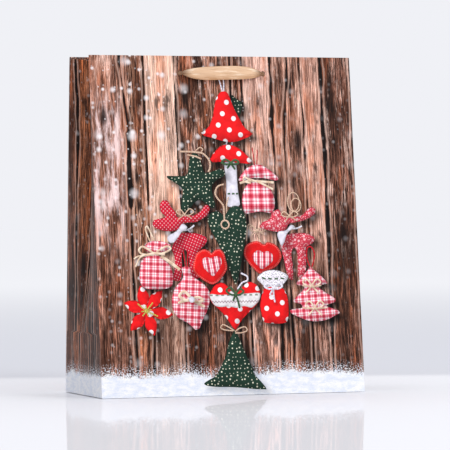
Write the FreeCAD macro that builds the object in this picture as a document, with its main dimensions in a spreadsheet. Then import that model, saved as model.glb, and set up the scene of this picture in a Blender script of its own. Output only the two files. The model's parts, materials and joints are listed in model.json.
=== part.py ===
"""A paper gift bag with a flat base, creased side gussets and satin ribbon handles.

The bag is one printed sheet that is creased, folded and glued. Every panel between
two creases is a part of its own, together with the card strips under the hem, the
loose base board and the two ribbons.

Frame: +Z up, the front faces -Y, the origin is the middle of the base.
A panel's own frame has X along its base crease, Y into the bag and Z up the panel.
"""
import FreeCAD, Part
import math
import os

import Sketcher

Vector = FreeCAD.Vector
Rotation = FreeCAD.Rotation
Placement = FreeCAD.Placement

SIZES = [
    # the folded sheet
    ("bag_width", 260.0),
    ("panel_height", 320.0),
    ("base_depth", 120.0),
    ("paper", 0.3),
    ("front_lean", 6.3),
    ("back_lean", 3.8),
    ("crease_rise", 0.65),
    ("mouth_crease_inset", 50.5),
    ("mouth_crease_drop", 4.0),
    ("hinge_gap", 0.65),
    # the turned-in hem and its card
    ("hem_height", 40.0),
    ("hem_side_gap", 2.5),
    ("card_height", 38.0),
    ("card_thick", 0.6),
    ("gusset_hem_inset", 4.0),
    # the bottom flaps and the base board
    ("flap_reach", 72.0),
    ("flap_gap", 0.7),
    ("flap_step_run", 3.0),
    ("board_thick", 0.8),
    ("board_margin", 3.0),
    ("board_corner", 4.0),
    ("board_height", 1.3),
    # the glued side seam
    ("seam_width", 20.0),
    # the ribbon handles
    ("hole_span", 83.0),
    ("hole_drop", 16.5),
    ("hole_size", 5.0),
    ("band_width", 13.0),
    ("band_thick", 0.8),
    ("band_lens_span", 88.0),
    ("band_half_length", 40.5),
    ("band_bow", 4.2),
    ("band_stand_off", 1.8),
    ("tail_width", 9.0),
    ("tail_thick", 0.8),
    ("tail_length", 100.0),
    ("stub_size", 3.4),
    ("knot_radius", 4.5),
]

doc = FreeCAD.newDocument("gift_bag")
sheet = doc.addObject("Spreadsheet::Sheet", "Sizes")
for row, (alias, value) in enumerate(SIZES, start=1):
    sheet.set(f"A{row}", alias)
    sheet.set(f"B{row}", str(value))
    sheet.setAlias(f"B{row}", alias)
doc.recompute()


def size(alias):
    """The value of one driving dimension."""
    return float(sheet.get(alias))


parts = []


def keep(thing, label, placement=None):
    """Name a finished sub-part, place it and put it on the list."""
    thing.Label = label
    if placement is not None:
        thing.Placement = placement
    parts.append(thing)
    return thing


def bind(thing, **expressions):
    """Tie properties to sheet cells."""
    for name, text in expressions.items():
        thing.setExpression(name, text)
    return thing


def panel_frame(side):
    """Where a panel's own frame stands in the bag: the back is the front turned round."""
    lean = size(f"{side}_lean")
    turned = Rotation(Vector(0, 0, 1), 180 if side == "back" else 0)
    foot = Placement(Vector(0, -size("base_depth") / 2, 0), Rotation(Vector(1, 0, 0), -lean))
    return Placement(Vector(), turned).multiply(foot)


def sunk(frame, depth):
    """The same frame moved into the bag by a depth."""
    return frame.multiply(Placement(Vector(0, depth, 0), Rotation()))


# ---------------------------------------------------------------- flat sheets

def origin_plane(body, role):
    """One of a body's own origin planes."""
    for feature in body.Origin.OriginFeatures:
        if feature.Role == role:
            return feature
    raise ValueError(role)


def new_sketch(body, role, name):
    """An empty sketch on one of the body's origin planes."""
    sketch = body.newObject("Sketcher::SketchObject", name)
    sketch.AttachmentSupport = [(origin_plane(body, role), "")]
    sketch.MapMode = "FlatFace"
    return sketch


def draw_outline(sketch, corners):
    """A closed outline whose corners are pairs of sheet expressions (across, up)."""
    points = [Vector(index * 7.0, (index % 3) * 5.0, 0) for index in range(len(corners))]
    for start, end in zip(points, points[1:] + points[:1]):
        sketch.addGeometry(Part.LineSegment(start, end), False)
    count = len(corners)
    for index in range(count):
        sketch.addConstraint(Sketcher.Constraint("Coincident", index, 2, (index + 1) % count, 1))
    for index, corner in enumerate(corners):
        for kind, text in zip(("DistanceX", "DistanceY"), corner):
            number = sketch.addConstraint(Sketcher.Constraint(kind, -1, 1, index, 1, 1.0))
            sketch.setExpression(f"Constraints[{number}]", text)


def draw_hole(sketch, across, up, diameter):
    """A round hole with its centre and size tied to the sheet."""
    circle = sketch.addGeometry(Part.Circle(Vector(1, 1, 0), Vector(0, 0, 1), 2.0), False)
    for kind, text in (("DistanceX", across), ("DistanceY", up)):
        number = sketch.addConstraint(Sketcher.Constraint(kind, -1, 1, circle, 3, 1.0))
        sketch.setExpression(f"Constraints[{number}]", text)
    number = sketch.addConstraint(Sketcher.Constraint("Diameter", circle, 5.0))
    sketch.setExpression(f"Constraints[{number}]", diameter)


def upright_plate(label, half_width, low, high, thick, placement, holes=True):
    """A plate standing in a panel's own frame, with the two ribbon holes."""
    body = doc.addObject("PartDesign::Body", label)
    sketch = new_sketch(body, "XZ_Plane", f"{label}_outline")
    left, right = f"-({half_width})", half_width
    draw_outline(sketch, [(left, low), (right, low), (right, high), (left, high)])
    if holes:
        for sign in ("-", ""):
            across = f"{sign}Sizes.hole_span / 2"
            draw_hole(sketch, across, "Sizes.panel_height - Sizes.hole_drop", "Sizes.hole_size")
    pad = body.newObject("PartDesign::Pad", f"{label}_pad")
    pad.Profile = sketch
    pad.Reversed = True
    bind(pad, Length=thick)
    return keep(body, label, placement)


def flat_plate(label, corners, thick, placement):
    """A plate lying flat, from an outline in plan."""
    body = doc.addObject("PartDesign::Body", label)
    sketch = new_sketch(body, "XY_Plane", f"{label}_outline")
    draw_outline(sketch, corners)
    pad = body.newObject("PartDesign::Pad", f"{label}_pad")
    pad.Profile = sketch
    bind(pad, Length=thick)
    return keep(body, label, placement)


def build_panel(side):
    """A broad panel with the card strip and the turned-in hem behind its top edge."""
    frame = panel_frame(side)
    half, top = "Sizes.bag_width / 2", "Sizes.panel_height"
    upright_plate(f"{side}_panel", half, "Sizes.crease_rise", top, "Sizes.paper", frame)
    strip = f"{half} - Sizes.hem_side_gap"
    card_low = f"{top} - Sizes.card_height"
    card_at = sunk(frame, size("paper"))
    upright_plate(f"{side}_hem_card", strip, card_low, top, "Sizes.card_thick", card_at)
    hem_at = sunk(frame, size("paper") + size("card_thick"))
    hem_low = f"{top} - Sizes.hem_height"
    upright_plate(f"{side}_hem", strip, hem_low, top, "Sizes.paper", hem_at)


def build_seam_flap():
    """The glued seam: a strip of the side gusset stuck to the back panel's inside."""
    body = doc.addObject("PartDesign::Body", "side_seam_flap")
    sketch = new_sketch(body, "XZ_Plane", "side_seam_flap_outline")
    outer = "Sizes.bag_width / 2 - Sizes.hem_side_gap"
    inner = f"{outer} - Sizes.seam_width"
    low, high = "2 * Sizes.hem_side_gap", "Sizes.panel_height - Sizes.hem_height - 1"
    draw_outline(sketch, [(inner, low), (outer, low), (outer, high), (inner, high)])
    pad = body.newObject("PartDesign::Pad", "side_seam_flap_pad")
    pad.Profile = sketch
    pad.Reversed = True
    bind(pad, Length="Sizes.paper")
    keep(body, "side_seam_flap", sunk(panel_frame("back"), size("paper")))


# ---------------------------------------------------------------- the base

def build_bottom_flaps():
    """Mitred front and back flaps glued over two side flaps."""
    half, edge = "(Sizes.bag_width / 2 - Sizes.flap_gap)", "(Sizes.base_depth / 2 - Sizes.flap_gap)"
    reach = "Sizes.flap_reach"
    tip = f"({half} - {reach})"
    trapezium = [
        (f"-{half}", f"-{edge}"),
        (half, f"-{edge}"),
        (tip, f"{reach} - {edge}"),
        (f"-{tip}", f"{reach} - {edge}"),
    ]
    flat_plate("bottom_front_flap", trapezium, "Sizes.paper", Placement())

    # the back flap steps up over the front flap's free edge, and is mitred to match
    profile_body = doc.addObject("PartDesign::Body", "bottom_back_flap")
    profile = new_sketch(profile_body, "YZ_Plane", "bottom_back_flap_profile")
    paper = "Sizes.paper"
    step = f"({reach} - {edge} + 0.5)"
    raised = f"({step} + Sizes.flap_step_run)"
    inner = f"({edge} - {reach})"
    draw_outline(profile, [
        (raised, "0"),
        (edge, "0"),
        (edge, paper),
        (raised, paper),
        (step, f"2 * {paper}"),
        (inner, f"2 * {paper}"),
        (inner, paper),
        (step, paper),
    ])
    pad = profile_body.newObject("PartDesign::Pad", "bottom_back_flap_pad")
    pad.Profile = profile
    pad.Midplane = True
    bind(pad, Length=f"2 * {half}")
    doc.recompute()
    whole = pad.Shape.Volume
    for sign in (1, -1):
        corner = new_sketch(profile_body, "XY_Plane", f"bottom_back_flap_mitre_{'right' if sign > 0 else 'left'}")
        side = "" if sign > 0 else "-"
        draw_outline(corner, [
            (f"{side}({half} + 1)", f"{edge} + 1"),
            (f"{side}({half} + 1)", f"{inner} - 1"),
            (f"{side}({tip} - 1)", f"{inner} - 1"),
        ])
        cut = profile_body.newObject("PartDesign::Pocket", f"{corner.Name}_cut")
        cut.Profile = corner
        cut.Type = "ThroughAll"
        cut.Midplane = True
        doc.recompute()
        if cut.Shape.Volume >= whole:
            raise RuntimeError("a mitre cut nothing")
        whole = cut.Shape.Volume
    keep(profile_body, "bottom_back_flap", Placement())

    level = 2 * size("paper") + 0.05
    for name, side in (("left", "-"), ("right", "")):
        outline = [
            (f"{side}({half} - 1)", f"-{edge}"),
            (f"{side}({half} - 1)", edge),
            (f"{side}{tip}", edge),
            (f"{side}{tip}", f"-{edge}"),
        ]
        flat_plate(f"bottom_{name}_flap", outline, paper, Placement(Vector(0, 0, level), Rotation()))


def build_base_board():
    """A loose card that stiffens the base."""
    blank = doc.addObject("Part::Box", "base_board_blank")
    width, depth = "(Sizes.bag_width - 2 * Sizes.board_margin)", "(Sizes.base_depth - 2 * Sizes.board_margin)"
    bind(blank, Length=width, Width=depth, Height="Sizes.board_thick")
    doc.recompute()
    board = doc.addObject("Part::Fillet", "base_board")
    board.Base = blank
    radius = size("board_corner")
    upright = [
        number
        for number, edge in enumerate(blank.Shape.Edges, start=1)
        if abs(edge.Vertexes[0].Z - edge.Vertexes[-1].Z) > size("board_thick") / 2
    ]
    board.Edges = [(number, radius, radius) for number in upright]
    corner = Vector(-size("bag_width") / 2, -size("base_depth") / 2, 0)
    inset = Vector(size("board_margin"), size("board_margin"), size("board_height"))
    keep(board, "base_board", Placement(corner + inset, Rotation()))


# ---------------------------------------------------------------- the side gussets

def slanted_solid(corners, faces, offset):
    """A thin solid: flat faces on the corners, and the same faces moved by an offset."""
    moved = [corner + offset for corner in corners]
    pieces = []
    used = set()
    for face in faces:
        pieces.append([corners[index] for index in face])
        pieces.append([moved[index] for index in reversed(face)])
        used.update(zip(face, face[1:] + face[:1]))
    rim = [pair for pair in used if pair[::-1] not in used]
    for first, second in rim:
        pieces.append([corners[first], moved[first], moved[second], corners[second]])
    shell = Part.Shell([Part.Face(Part.makePolygon(loop + loop[:1])) for loop in pieces])
    solid = Part.Solid(shell)
    solid.fixTolerance(1e-6)
    if solid.Volume < 0:
        solid.reverse()
    return solid


def face_line(side, height, gap):
    """Y of a panel's inner face at a height, less a gap, measured into the bag."""
    lean = math.radians(size(f"{side}_lean"))
    inward = -size("base_depth") / 2 + (size("paper") + gap) / math.cos(lean) + height * math.tan(lean)
    return inward if side == "front" else -inward


def gusset_corners(hand, side):
    """Outer corners of half a gusset: base corner, crease foot, crease top, panel top."""
    edge = hand * size("bag_width") / 2
    low = size("crease_rise")
    apex_height = size("base_depth") / 2
    top = size("panel_height") - size("mouth_crease_drop")
    gap = size("hinge_gap")
    middle = (face_line("front", top, 0) + face_line("back", top, 0)) / 2
    crease_top = Vector(edge - hand * size("mouth_crease_inset"), middle, top - 2.0)
    return [
        Vector(edge, face_line(side, low, gap), low),
        Vector(edge, 0, apex_height),
        crease_top,
        Vector(edge, face_line(side, top, gap), top),
    ]


def inward_offset(hand, side):
    """From a gusset half's outer face to its inner face."""
    across = -1 if side == "front" else 1
    return Vector(-hand * 0.8, across * 0.6, 0) * size("paper")


def build_gusset(hand_name, hand):
    """A gusset: a flat foot, two halves that crease inward, and their turned-in hems."""
    corners = {side: gusset_corners(hand, side) for side in ("front", "back")}
    for side in ("front", "back"):
        offset = inward_offset(hand, side)
        corner, apex, crease_top, panel_top = corners[side]
        order = [[0, 1, 3], [1, 2, 3]]
        half = doc.addObject("Part::Feature", f"{hand_name}_gusset_{side}_half")
        half.Shape = slanted_solid(corners[side], order, offset)
        keep(half, f"{hand_name}_gusset_{side}_half", Placement())

        drop = size("hem_height") / (panel_top - apex).Length
        step = (crease_top - panel_top).normalize() * size("gusset_hem_inset")
        rows = [panel_top + step, crease_top - step * 0.25]
        strip = rows + [point + (apex - point) * drop for point in reversed(rows)]
        strip = [point + offset * 1.15 for point in strip]
        hem = doc.addObject("Part::Feature", f"{hand_name}_gusset_{side}_hem")
        hem.Shape = slanted_solid(strip, [[0, 1, 2], [0, 2, 3]], offset)
        keep(hem, f"{hand_name}_gusset_{side}_hem", Placement())

    foot_corners = [corners["front"][0], corners["back"][0], corners["front"][1]]
    thickness = Vector(-hand * size("paper") * 0.8, 0, 0)
    foot = doc.addObject("Part::Feature", f"{hand_name}_gusset_foot")
    foot.Shape = slanted_solid(foot_corners, [[0, 1, 2]], thickness)
    keep(foot, f"{hand_name}_gusset_foot", Placement())


# ---------------------------------------------------------------- the ribbons

def cylinder(name, radius, height, turned=False):
    """A cylinder bound to the sheet, upright or turned to lie along Y."""
    thing = doc.addObject("Part::Cylinder", name)
    bind(thing, Radius=radius, Height=height)
    if turned:
        thing.Placement = Placement(Vector(), Rotation(Vector(1, 0, 0), -90))
    return thing


def join(kind, name, first, second):
    """A boolean of two shapes."""
    thing = doc.addObject(f"Part::{kind}", name)
    thing.Base = first
    thing.Tool = second
    return thing


def common(name, first, second):
    """What two shapes share."""
    thing = doc.addObject("Part::MultiCommon", name)
    thing.Shapes = [first, second]
    return thing


def build_band(side):
    """The ribbon across the outside: pointed at both holes, bowed away from the panel."""
    name = f"{side}_ribbon_band"
    half_span, half_width = "(Sizes.band_lens_span / 2)", "(Sizes.band_width / 2)"
    lens_radius = f"({half_span} ^ 2 + {half_width} ^ 2) / (2 * {half_width})"
    lobes = []
    for lobe, sign in (("upper", "-"), ("lower", "")):
        disc = cylinder(f"{name}_{lobe}_edge", lens_radius, "4 * Sizes.band_bow", turned=True)
        bind(disc, **{
            "Placement.Base.y": "-2 * Sizes.band_bow - Sizes.band_stand_off",
            "Placement.Base.z": f"{sign}({lens_radius} - {half_width})",
        })
        lobes.append(disc)
    lens = common(f"{name}_lens", *lobes)

    bow_radius = "(Sizes.band_half_length ^ 2 + Sizes.band_bow ^ 2) / (2 * Sizes.band_bow)"
    shells = []
    for layer, sign in (("outer", "+"), ("inner", "-")):
        tube = cylinder(f"{name}_{layer}_bow", f"{bow_radius} {sign} Sizes.band_thick / 2", "2 * Sizes.band_width")
        bind(tube, **{
            "Placement.Base.y": f"{bow_radius} - Sizes.band_bow - Sizes.band_stand_off",
            "Placement.Base.z": "-Sizes.band_width",
        })
        shells.append(tube)
    bow = join("Cut", f"{name}_bow", *shells)
    strip = common(f"{name}_strip", lens, bow)

    trim = doc.addObject("Part::Box", f"{name}_trim")
    bind(trim, Length="2 * Sizes.band_half_length", Width="8 * Sizes.band_bow", Height="2 * Sizes.band_width")
    bind(trim, **{
        "Placement.Base.x": "-Sizes.band_half_length",
        "Placement.Base.y": "-8 * Sizes.band_bow",
        "Placement.Base.z": "-Sizes.band_width",
    })
    band = common(name, strip, trim)
    hole_line = Placement(Vector(0, 0, size("panel_height") - size("hole_drop")), Rotation())
    keep(band, name, panel_frame(side).multiply(hole_line))


def build_tail(side, hand_name, hand):
    """A ribbon end: through the hole, down the inside of the panel, and its knot."""
    name = f"{side}_ribbon_tail_{hand_name}"
    inner_face = "(2 * Sizes.paper + Sizes.card_thick)"
    stub = cylinder(f"{name}_stub", "Sizes.stub_size / 2", f"{inner_face} + Sizes.tail_thick / 2", turned=True)
    strap = doc.addObject("Part::Box", f"{name}_strap")
    bind(strap, Length="Sizes.tail_width", Width="Sizes.tail_thick", Height="Sizes.tail_length")
    bind(strap, **{
        "Placement.Base.x": "-Sizes.tail_width / 2",
        "Placement.Base.y": inner_face,
        "Placement.Base.z": "Sizes.stub_size - Sizes.tail_length",
    })
    tail = join("Fuse", name, stub, strap)
    hole = Vector(hand * size("hole_span") / 2, 0, size("panel_height") - size("hole_drop"))
    at_hole = panel_frame(side).multiply(Placement(hole, Rotation()))
    keep(tail, name, at_hole)

    knot_name = f"{side}_ribbon_knot_{hand_name}"
    ball = doc.addObject("Part::Sphere", f"{knot_name}_ball")
    bind(ball, Radius="Sizes.knot_radius")
    top_cut = doc.addObject("Part::Box", f"{knot_name}_top")
    reach = "4 * Sizes.knot_radius"
    bind(top_cut, Length=reach, Width=reach, Height=reach)
    bind(top_cut, **{
        "Placement.Base.x": "-2 * Sizes.knot_radius",
        "Placement.Base.y": "-2 * Sizes.knot_radius",
        "Placement.Base.z": "Sizes.knot_radius * 0.6",
    })
    knot = join("Cut", knot_name, ball, top_cut)
    drop = size("stub_size") - size("tail_length") - 0.6 * size("knot_radius")
    depth = size("paper") + size("knot_radius") + 0.2
    keep(knot, knot_name, at_hole.multiply(Placement(Vector(0, depth, drop), Rotation())))


build_bottom_flaps()
build_base_board()
for side in ("front", "back"):
    build_panel(side)
build_seam_flap()
for hand_name, hand in (("left", -1), ("right", 1)):
    build_gusset(hand_name, hand)
for side in ("front", "back"):
    build_band(side)
    for hand_name, hand in (("left", -1), ("right", 1)):
        build_tail(side, hand_name, hand)

doc.recompute()
for thing in doc.Objects:
    if "Invalid" in thing.State or "Error" in thing.State:
        raise RuntimeError(f"{thing.Label} failed: {thing.State}")
os.makedirs("parts", exist_ok=True)
for part in parts:
    if part.Shape.isNull() or not part.Shape.isValid() or not part.Shape.Solids:
        raise RuntimeError(f"{part.Label} has no sound solid")
for part in parts:
    part.Shape.exportStep(f"parts/{part.Label}.step")
    box = part.Shape.BoundBox
    print(
        f"{part.Label:28s} {part.Shape.Volume:9.1f} mm3  "
        f"x {box.XMin:7.2f} {box.XMax:7.2f}  y {box.YMin:7.2f} {box.YMax:7.2f}  z {box.ZMin:7.2f} {box.ZMax:7.2f}"
    )
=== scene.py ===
"""Looks of the paper gift bag: its printed sheet, ribbons and card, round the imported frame."""
import json
import math

import bmesh
import bpy
import numpy as np
from mathutils import Matrix, Vector
from mathutils.geometry import delaunay_2d_cdt


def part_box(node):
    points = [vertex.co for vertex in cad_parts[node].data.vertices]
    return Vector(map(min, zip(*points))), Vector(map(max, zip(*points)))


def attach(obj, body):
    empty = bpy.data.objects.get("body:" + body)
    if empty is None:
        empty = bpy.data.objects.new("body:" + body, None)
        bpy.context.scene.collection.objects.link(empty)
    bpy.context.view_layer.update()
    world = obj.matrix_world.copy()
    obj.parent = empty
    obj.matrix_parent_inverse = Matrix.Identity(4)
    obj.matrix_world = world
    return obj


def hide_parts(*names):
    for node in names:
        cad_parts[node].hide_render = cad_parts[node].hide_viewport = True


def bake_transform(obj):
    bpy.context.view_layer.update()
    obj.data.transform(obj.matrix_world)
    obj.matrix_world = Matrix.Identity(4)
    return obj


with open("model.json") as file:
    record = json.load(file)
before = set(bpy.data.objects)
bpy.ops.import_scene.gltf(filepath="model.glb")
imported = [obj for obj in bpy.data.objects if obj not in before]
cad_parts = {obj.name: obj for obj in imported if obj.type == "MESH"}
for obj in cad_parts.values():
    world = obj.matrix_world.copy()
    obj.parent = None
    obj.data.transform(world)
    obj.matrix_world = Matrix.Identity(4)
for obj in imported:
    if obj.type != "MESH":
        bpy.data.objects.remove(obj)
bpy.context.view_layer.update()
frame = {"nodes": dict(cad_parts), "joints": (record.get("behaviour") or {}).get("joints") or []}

# ------------------------------------------------------------------ sizes, in millimetres

MM = 0.001
JOINTS = {joint["name"]: joint for joint in frame["joints"]}
BACK_HIGH = np.array(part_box("back_panel")[1]) / MM
HALF_WIDTH = float(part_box("front_panel")[1][0]) / MM
HALF_DEPTH = float(BACK_HIGH[1])
# a panel stands upright at its joint's upper limit, so that limit is its lean at rest
LEAN = {
    "front": math.radians(JOINTS["front_panel_tilt"]["range_deg"][1]),
    "back": math.radians(JOINTS["back_panel_tilt"]["range_deg"][1]),
}
HEIGHT = float(BACK_HIGH[2]) / math.cos(LEAN["back"])
PAPER = 0.3
CARD = 0.6
HEM = 40.0
GUSSET = HALF_DEPTH
SHEET_TURN = 2 * HALF_WIDTH + 2 * GUSSET
HOLE_SPAN = 83.0
HOLE_RADIUS = 2.5
HOLE_HEIGHT = HEIGHT - 16.5
CARD_FROM = 288.0
BULGE = 1.7
FILM_GLOSS = 0.08
CREASE_TOP = np.array(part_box("left_gusset_front_half")[1]) / MM
CREASE_INSET = HALF_WIDTH - abs(float(CREASE_TOP[0]))
CREASE_Y = float(CREASE_TOP[1])


def bulge(across, up):
    """How far a panel swells outwards between its creases and the stiff hem."""
    side_fade = 1 - (across / HALF_WIDTH) ** 2
    rise = np.sin(np.pi * np.clip(up / CARD_FROM, 0, 1)) ** 1.4
    ripple = 0.22 * np.sin(across / 23.0 + up / 61.0) * np.sin(up / 37.0)
    return side_fade * rise * (BULGE + ripple)


def on_panel(side, across, up, depth=0.0):
    """Bag points, in millimetres, from places on a panel: across, up, and into the bag."""
    across, up, depth = np.broadcast_arrays(
        np.asarray(across, float), np.asarray(up, float), np.asarray(depth, float)
    )
    inward = depth - bulge(across, up)
    lean = LEAN[side]
    y = inward * math.cos(lean) + up * math.sin(lean) - HALF_DEPTH
    z = up * math.cos(lean) - inward * math.sin(lean)
    turn = -1.0 if side == "back" else 1.0
    return np.stack([turn * across, turn * y, z], axis=-1)


def on_gusset(hand, side, along, up, depth=0.0):
    """Bag points on half a gusset: along runs 0 to 1 from the panel to the centre crease."""
    along, up, depth = np.broadcast_arrays(
        np.asarray(along, float), np.asarray(up, float), np.asarray(depth, float)
    )

    def surface(a, u):
        turned = -1.0 if side == "back" else 1.0
        edge = on_panel(side, turned * hand * HALF_WIDTH, u, 0.5 * PAPER)
        rise = np.clip((u - GUSSET) / (HEIGHT - GUSSET), 0, 1)
        ease = rise + 0.02 * np.sin(np.pi * rise)
        crease = np.stack([
            hand * (HALF_WIDTH - CREASE_INSET * ease),
            CREASE_Y * rise,
            u * (1 - 0.0175 * np.clip(u / HEIGHT, 0, 1)),
        ], axis=-1)
        apex = np.array([hand * HALF_WIDTH, 0.0, GUSSET])
        corner = on_panel(side, turned * hand * HALF_WIDTH, HEIGHT, PAPER)
        bend = apex + (corner - apex) * rise[..., None]
        bend = np.where((u < GUSSET)[..., None], (edge + crease) / 2, bend)
        bend[..., 2] = (edge[..., 2] + crease[..., 2]) / 2
        a = a[..., None]
        return (1 - a) ** 2 * edge + 2 * a * (1 - a) * bend + a ** 2 * crease

    step = 0.01
    point = surface(along, up)
    if not np.any(depth):
        return point
    lower = np.clip(along - step, 0, 1)
    upper = np.clip(along + step, 0, 1)
    sideways = surface(upper, up) - surface(lower, up)
    normal = np.cross(sideways, surface(along, up + 1) - surface(along, up - 1))
    normal /= np.linalg.norm(normal, axis=-1, keepdims=True)
    inside = np.array([-hand * 0.55, -0.8 if side == "front" else 0.8, 0.0])
    normal *= np.where((normal @ inside) < 0, -1, 1)[..., None]
    return point + normal * depth[..., None]


# ------------------------------------------------------------------ making meshes

def srgb(red, green, blue):
    """A screen colour as the linear colour that a shader takes."""
    def linear(value):
        value /= 255
        return value / 12.92 if value <= 0.04045 else ((value + 0.055) / 1.055) ** 2.4
    return (linear(red), linear(green), linear(blue), 1.0)


def add_object(name, mesh, materials):
    """A new object at the origin with its materials."""
    thing = bpy.data.objects.new(name, mesh)
    bpy.context.collection.objects.link(thing)
    for material in materials:
        mesh.materials.append(material)
    return thing


def fill_uv(mesh, name, values):
    """A UV map from one pair of numbers for each vertex."""
    layer = mesh.uv_layers.new(name=name)
    corner_vertex = np.empty(len(mesh.loops), int)
    mesh.loops.foreach_get("vertex_index", corner_vertex)
    layer.data.foreach_set("uv", np.asarray(values, float)[corner_vertex].ravel())


def grid_mesh(name, points, maps):
    """A sheet of quads over a grid of points in millimetres, with UV maps on it."""
    rows, columns = points.shape[:2]
    work = bmesh.new()
    bmesh.ops.create_grid(work, x_segments=columns - 1, y_segments=rows - 1, size=0.5)
    work.verts.ensure_lookup_table()
    order = sorted(work.verts, key=lambda vertex: (round(vertex.co.y, 5), round(vertex.co.x, 5)))
    slots = [vertex.index for vertex in order]
    for vertex, point in zip(order, points.reshape(-1, 3)):
        vertex.co = Vector(point) * MM
    mesh = bpy.data.meshes.new(name)
    work.to_mesh(mesh)
    work.free()
    for map_name, values in maps.items():
        flat = np.empty((rows * columns, 2))
        flat[slots] = np.asarray(values, float).reshape(-1, 2)
        fill_uv(mesh, map_name, flat)
    return mesh


def face_like(thing, direction_of):
    """Turn a sheet's faces over if they look away from a wanted direction."""
    mesh = thing.data
    middle = mesh.polygons[len(mesh.polygons) // 2]
    if middle.normal.dot(Vector(direction_of)) < 0:
        mesh.flip_normals()


def apply_modifiers(thing):
    """Make the modifiers' result the piece's own mesh."""
    bpy.context.view_layer.update()
    solid = bpy.data.meshes.new_from_object(thing.evaluated_get(bpy.context.evaluated_depsgraph_get()))
    old = thing.data
    thing.modifiers.clear()
    thing.data = solid
    name = old.name
    bpy.data.meshes.remove(old)
    solid.name = name
    return thing


def thicken(thing, thickness, inner_slot=0, centred=False):
    """Give a sheet its paper thickness; the new inner face takes its own slot."""
    wall = thing.modifiers.new("paper_thickness", "SOLIDIFY")
    wall.thickness = thickness * MM
    wall.offset = 0.0 if centred else -1.0
    wall.use_even_offset = False
    wall.material_offset = inner_slot
    wall.material_offset_rim = 0
    return apply_modifiers(thing)


def shade_smooth(thing, angle=40):
    """Smooth shading that keeps creases sharper than an angle."""
    mesh = thing.data
    mesh.polygons.foreach_set("use_smooth", [True] * len(mesh.polygons))
    mesh.set_sharp_from_angle(angle=math.radians(angle))


# ------------------------------------------------------------------ making materials

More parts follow.
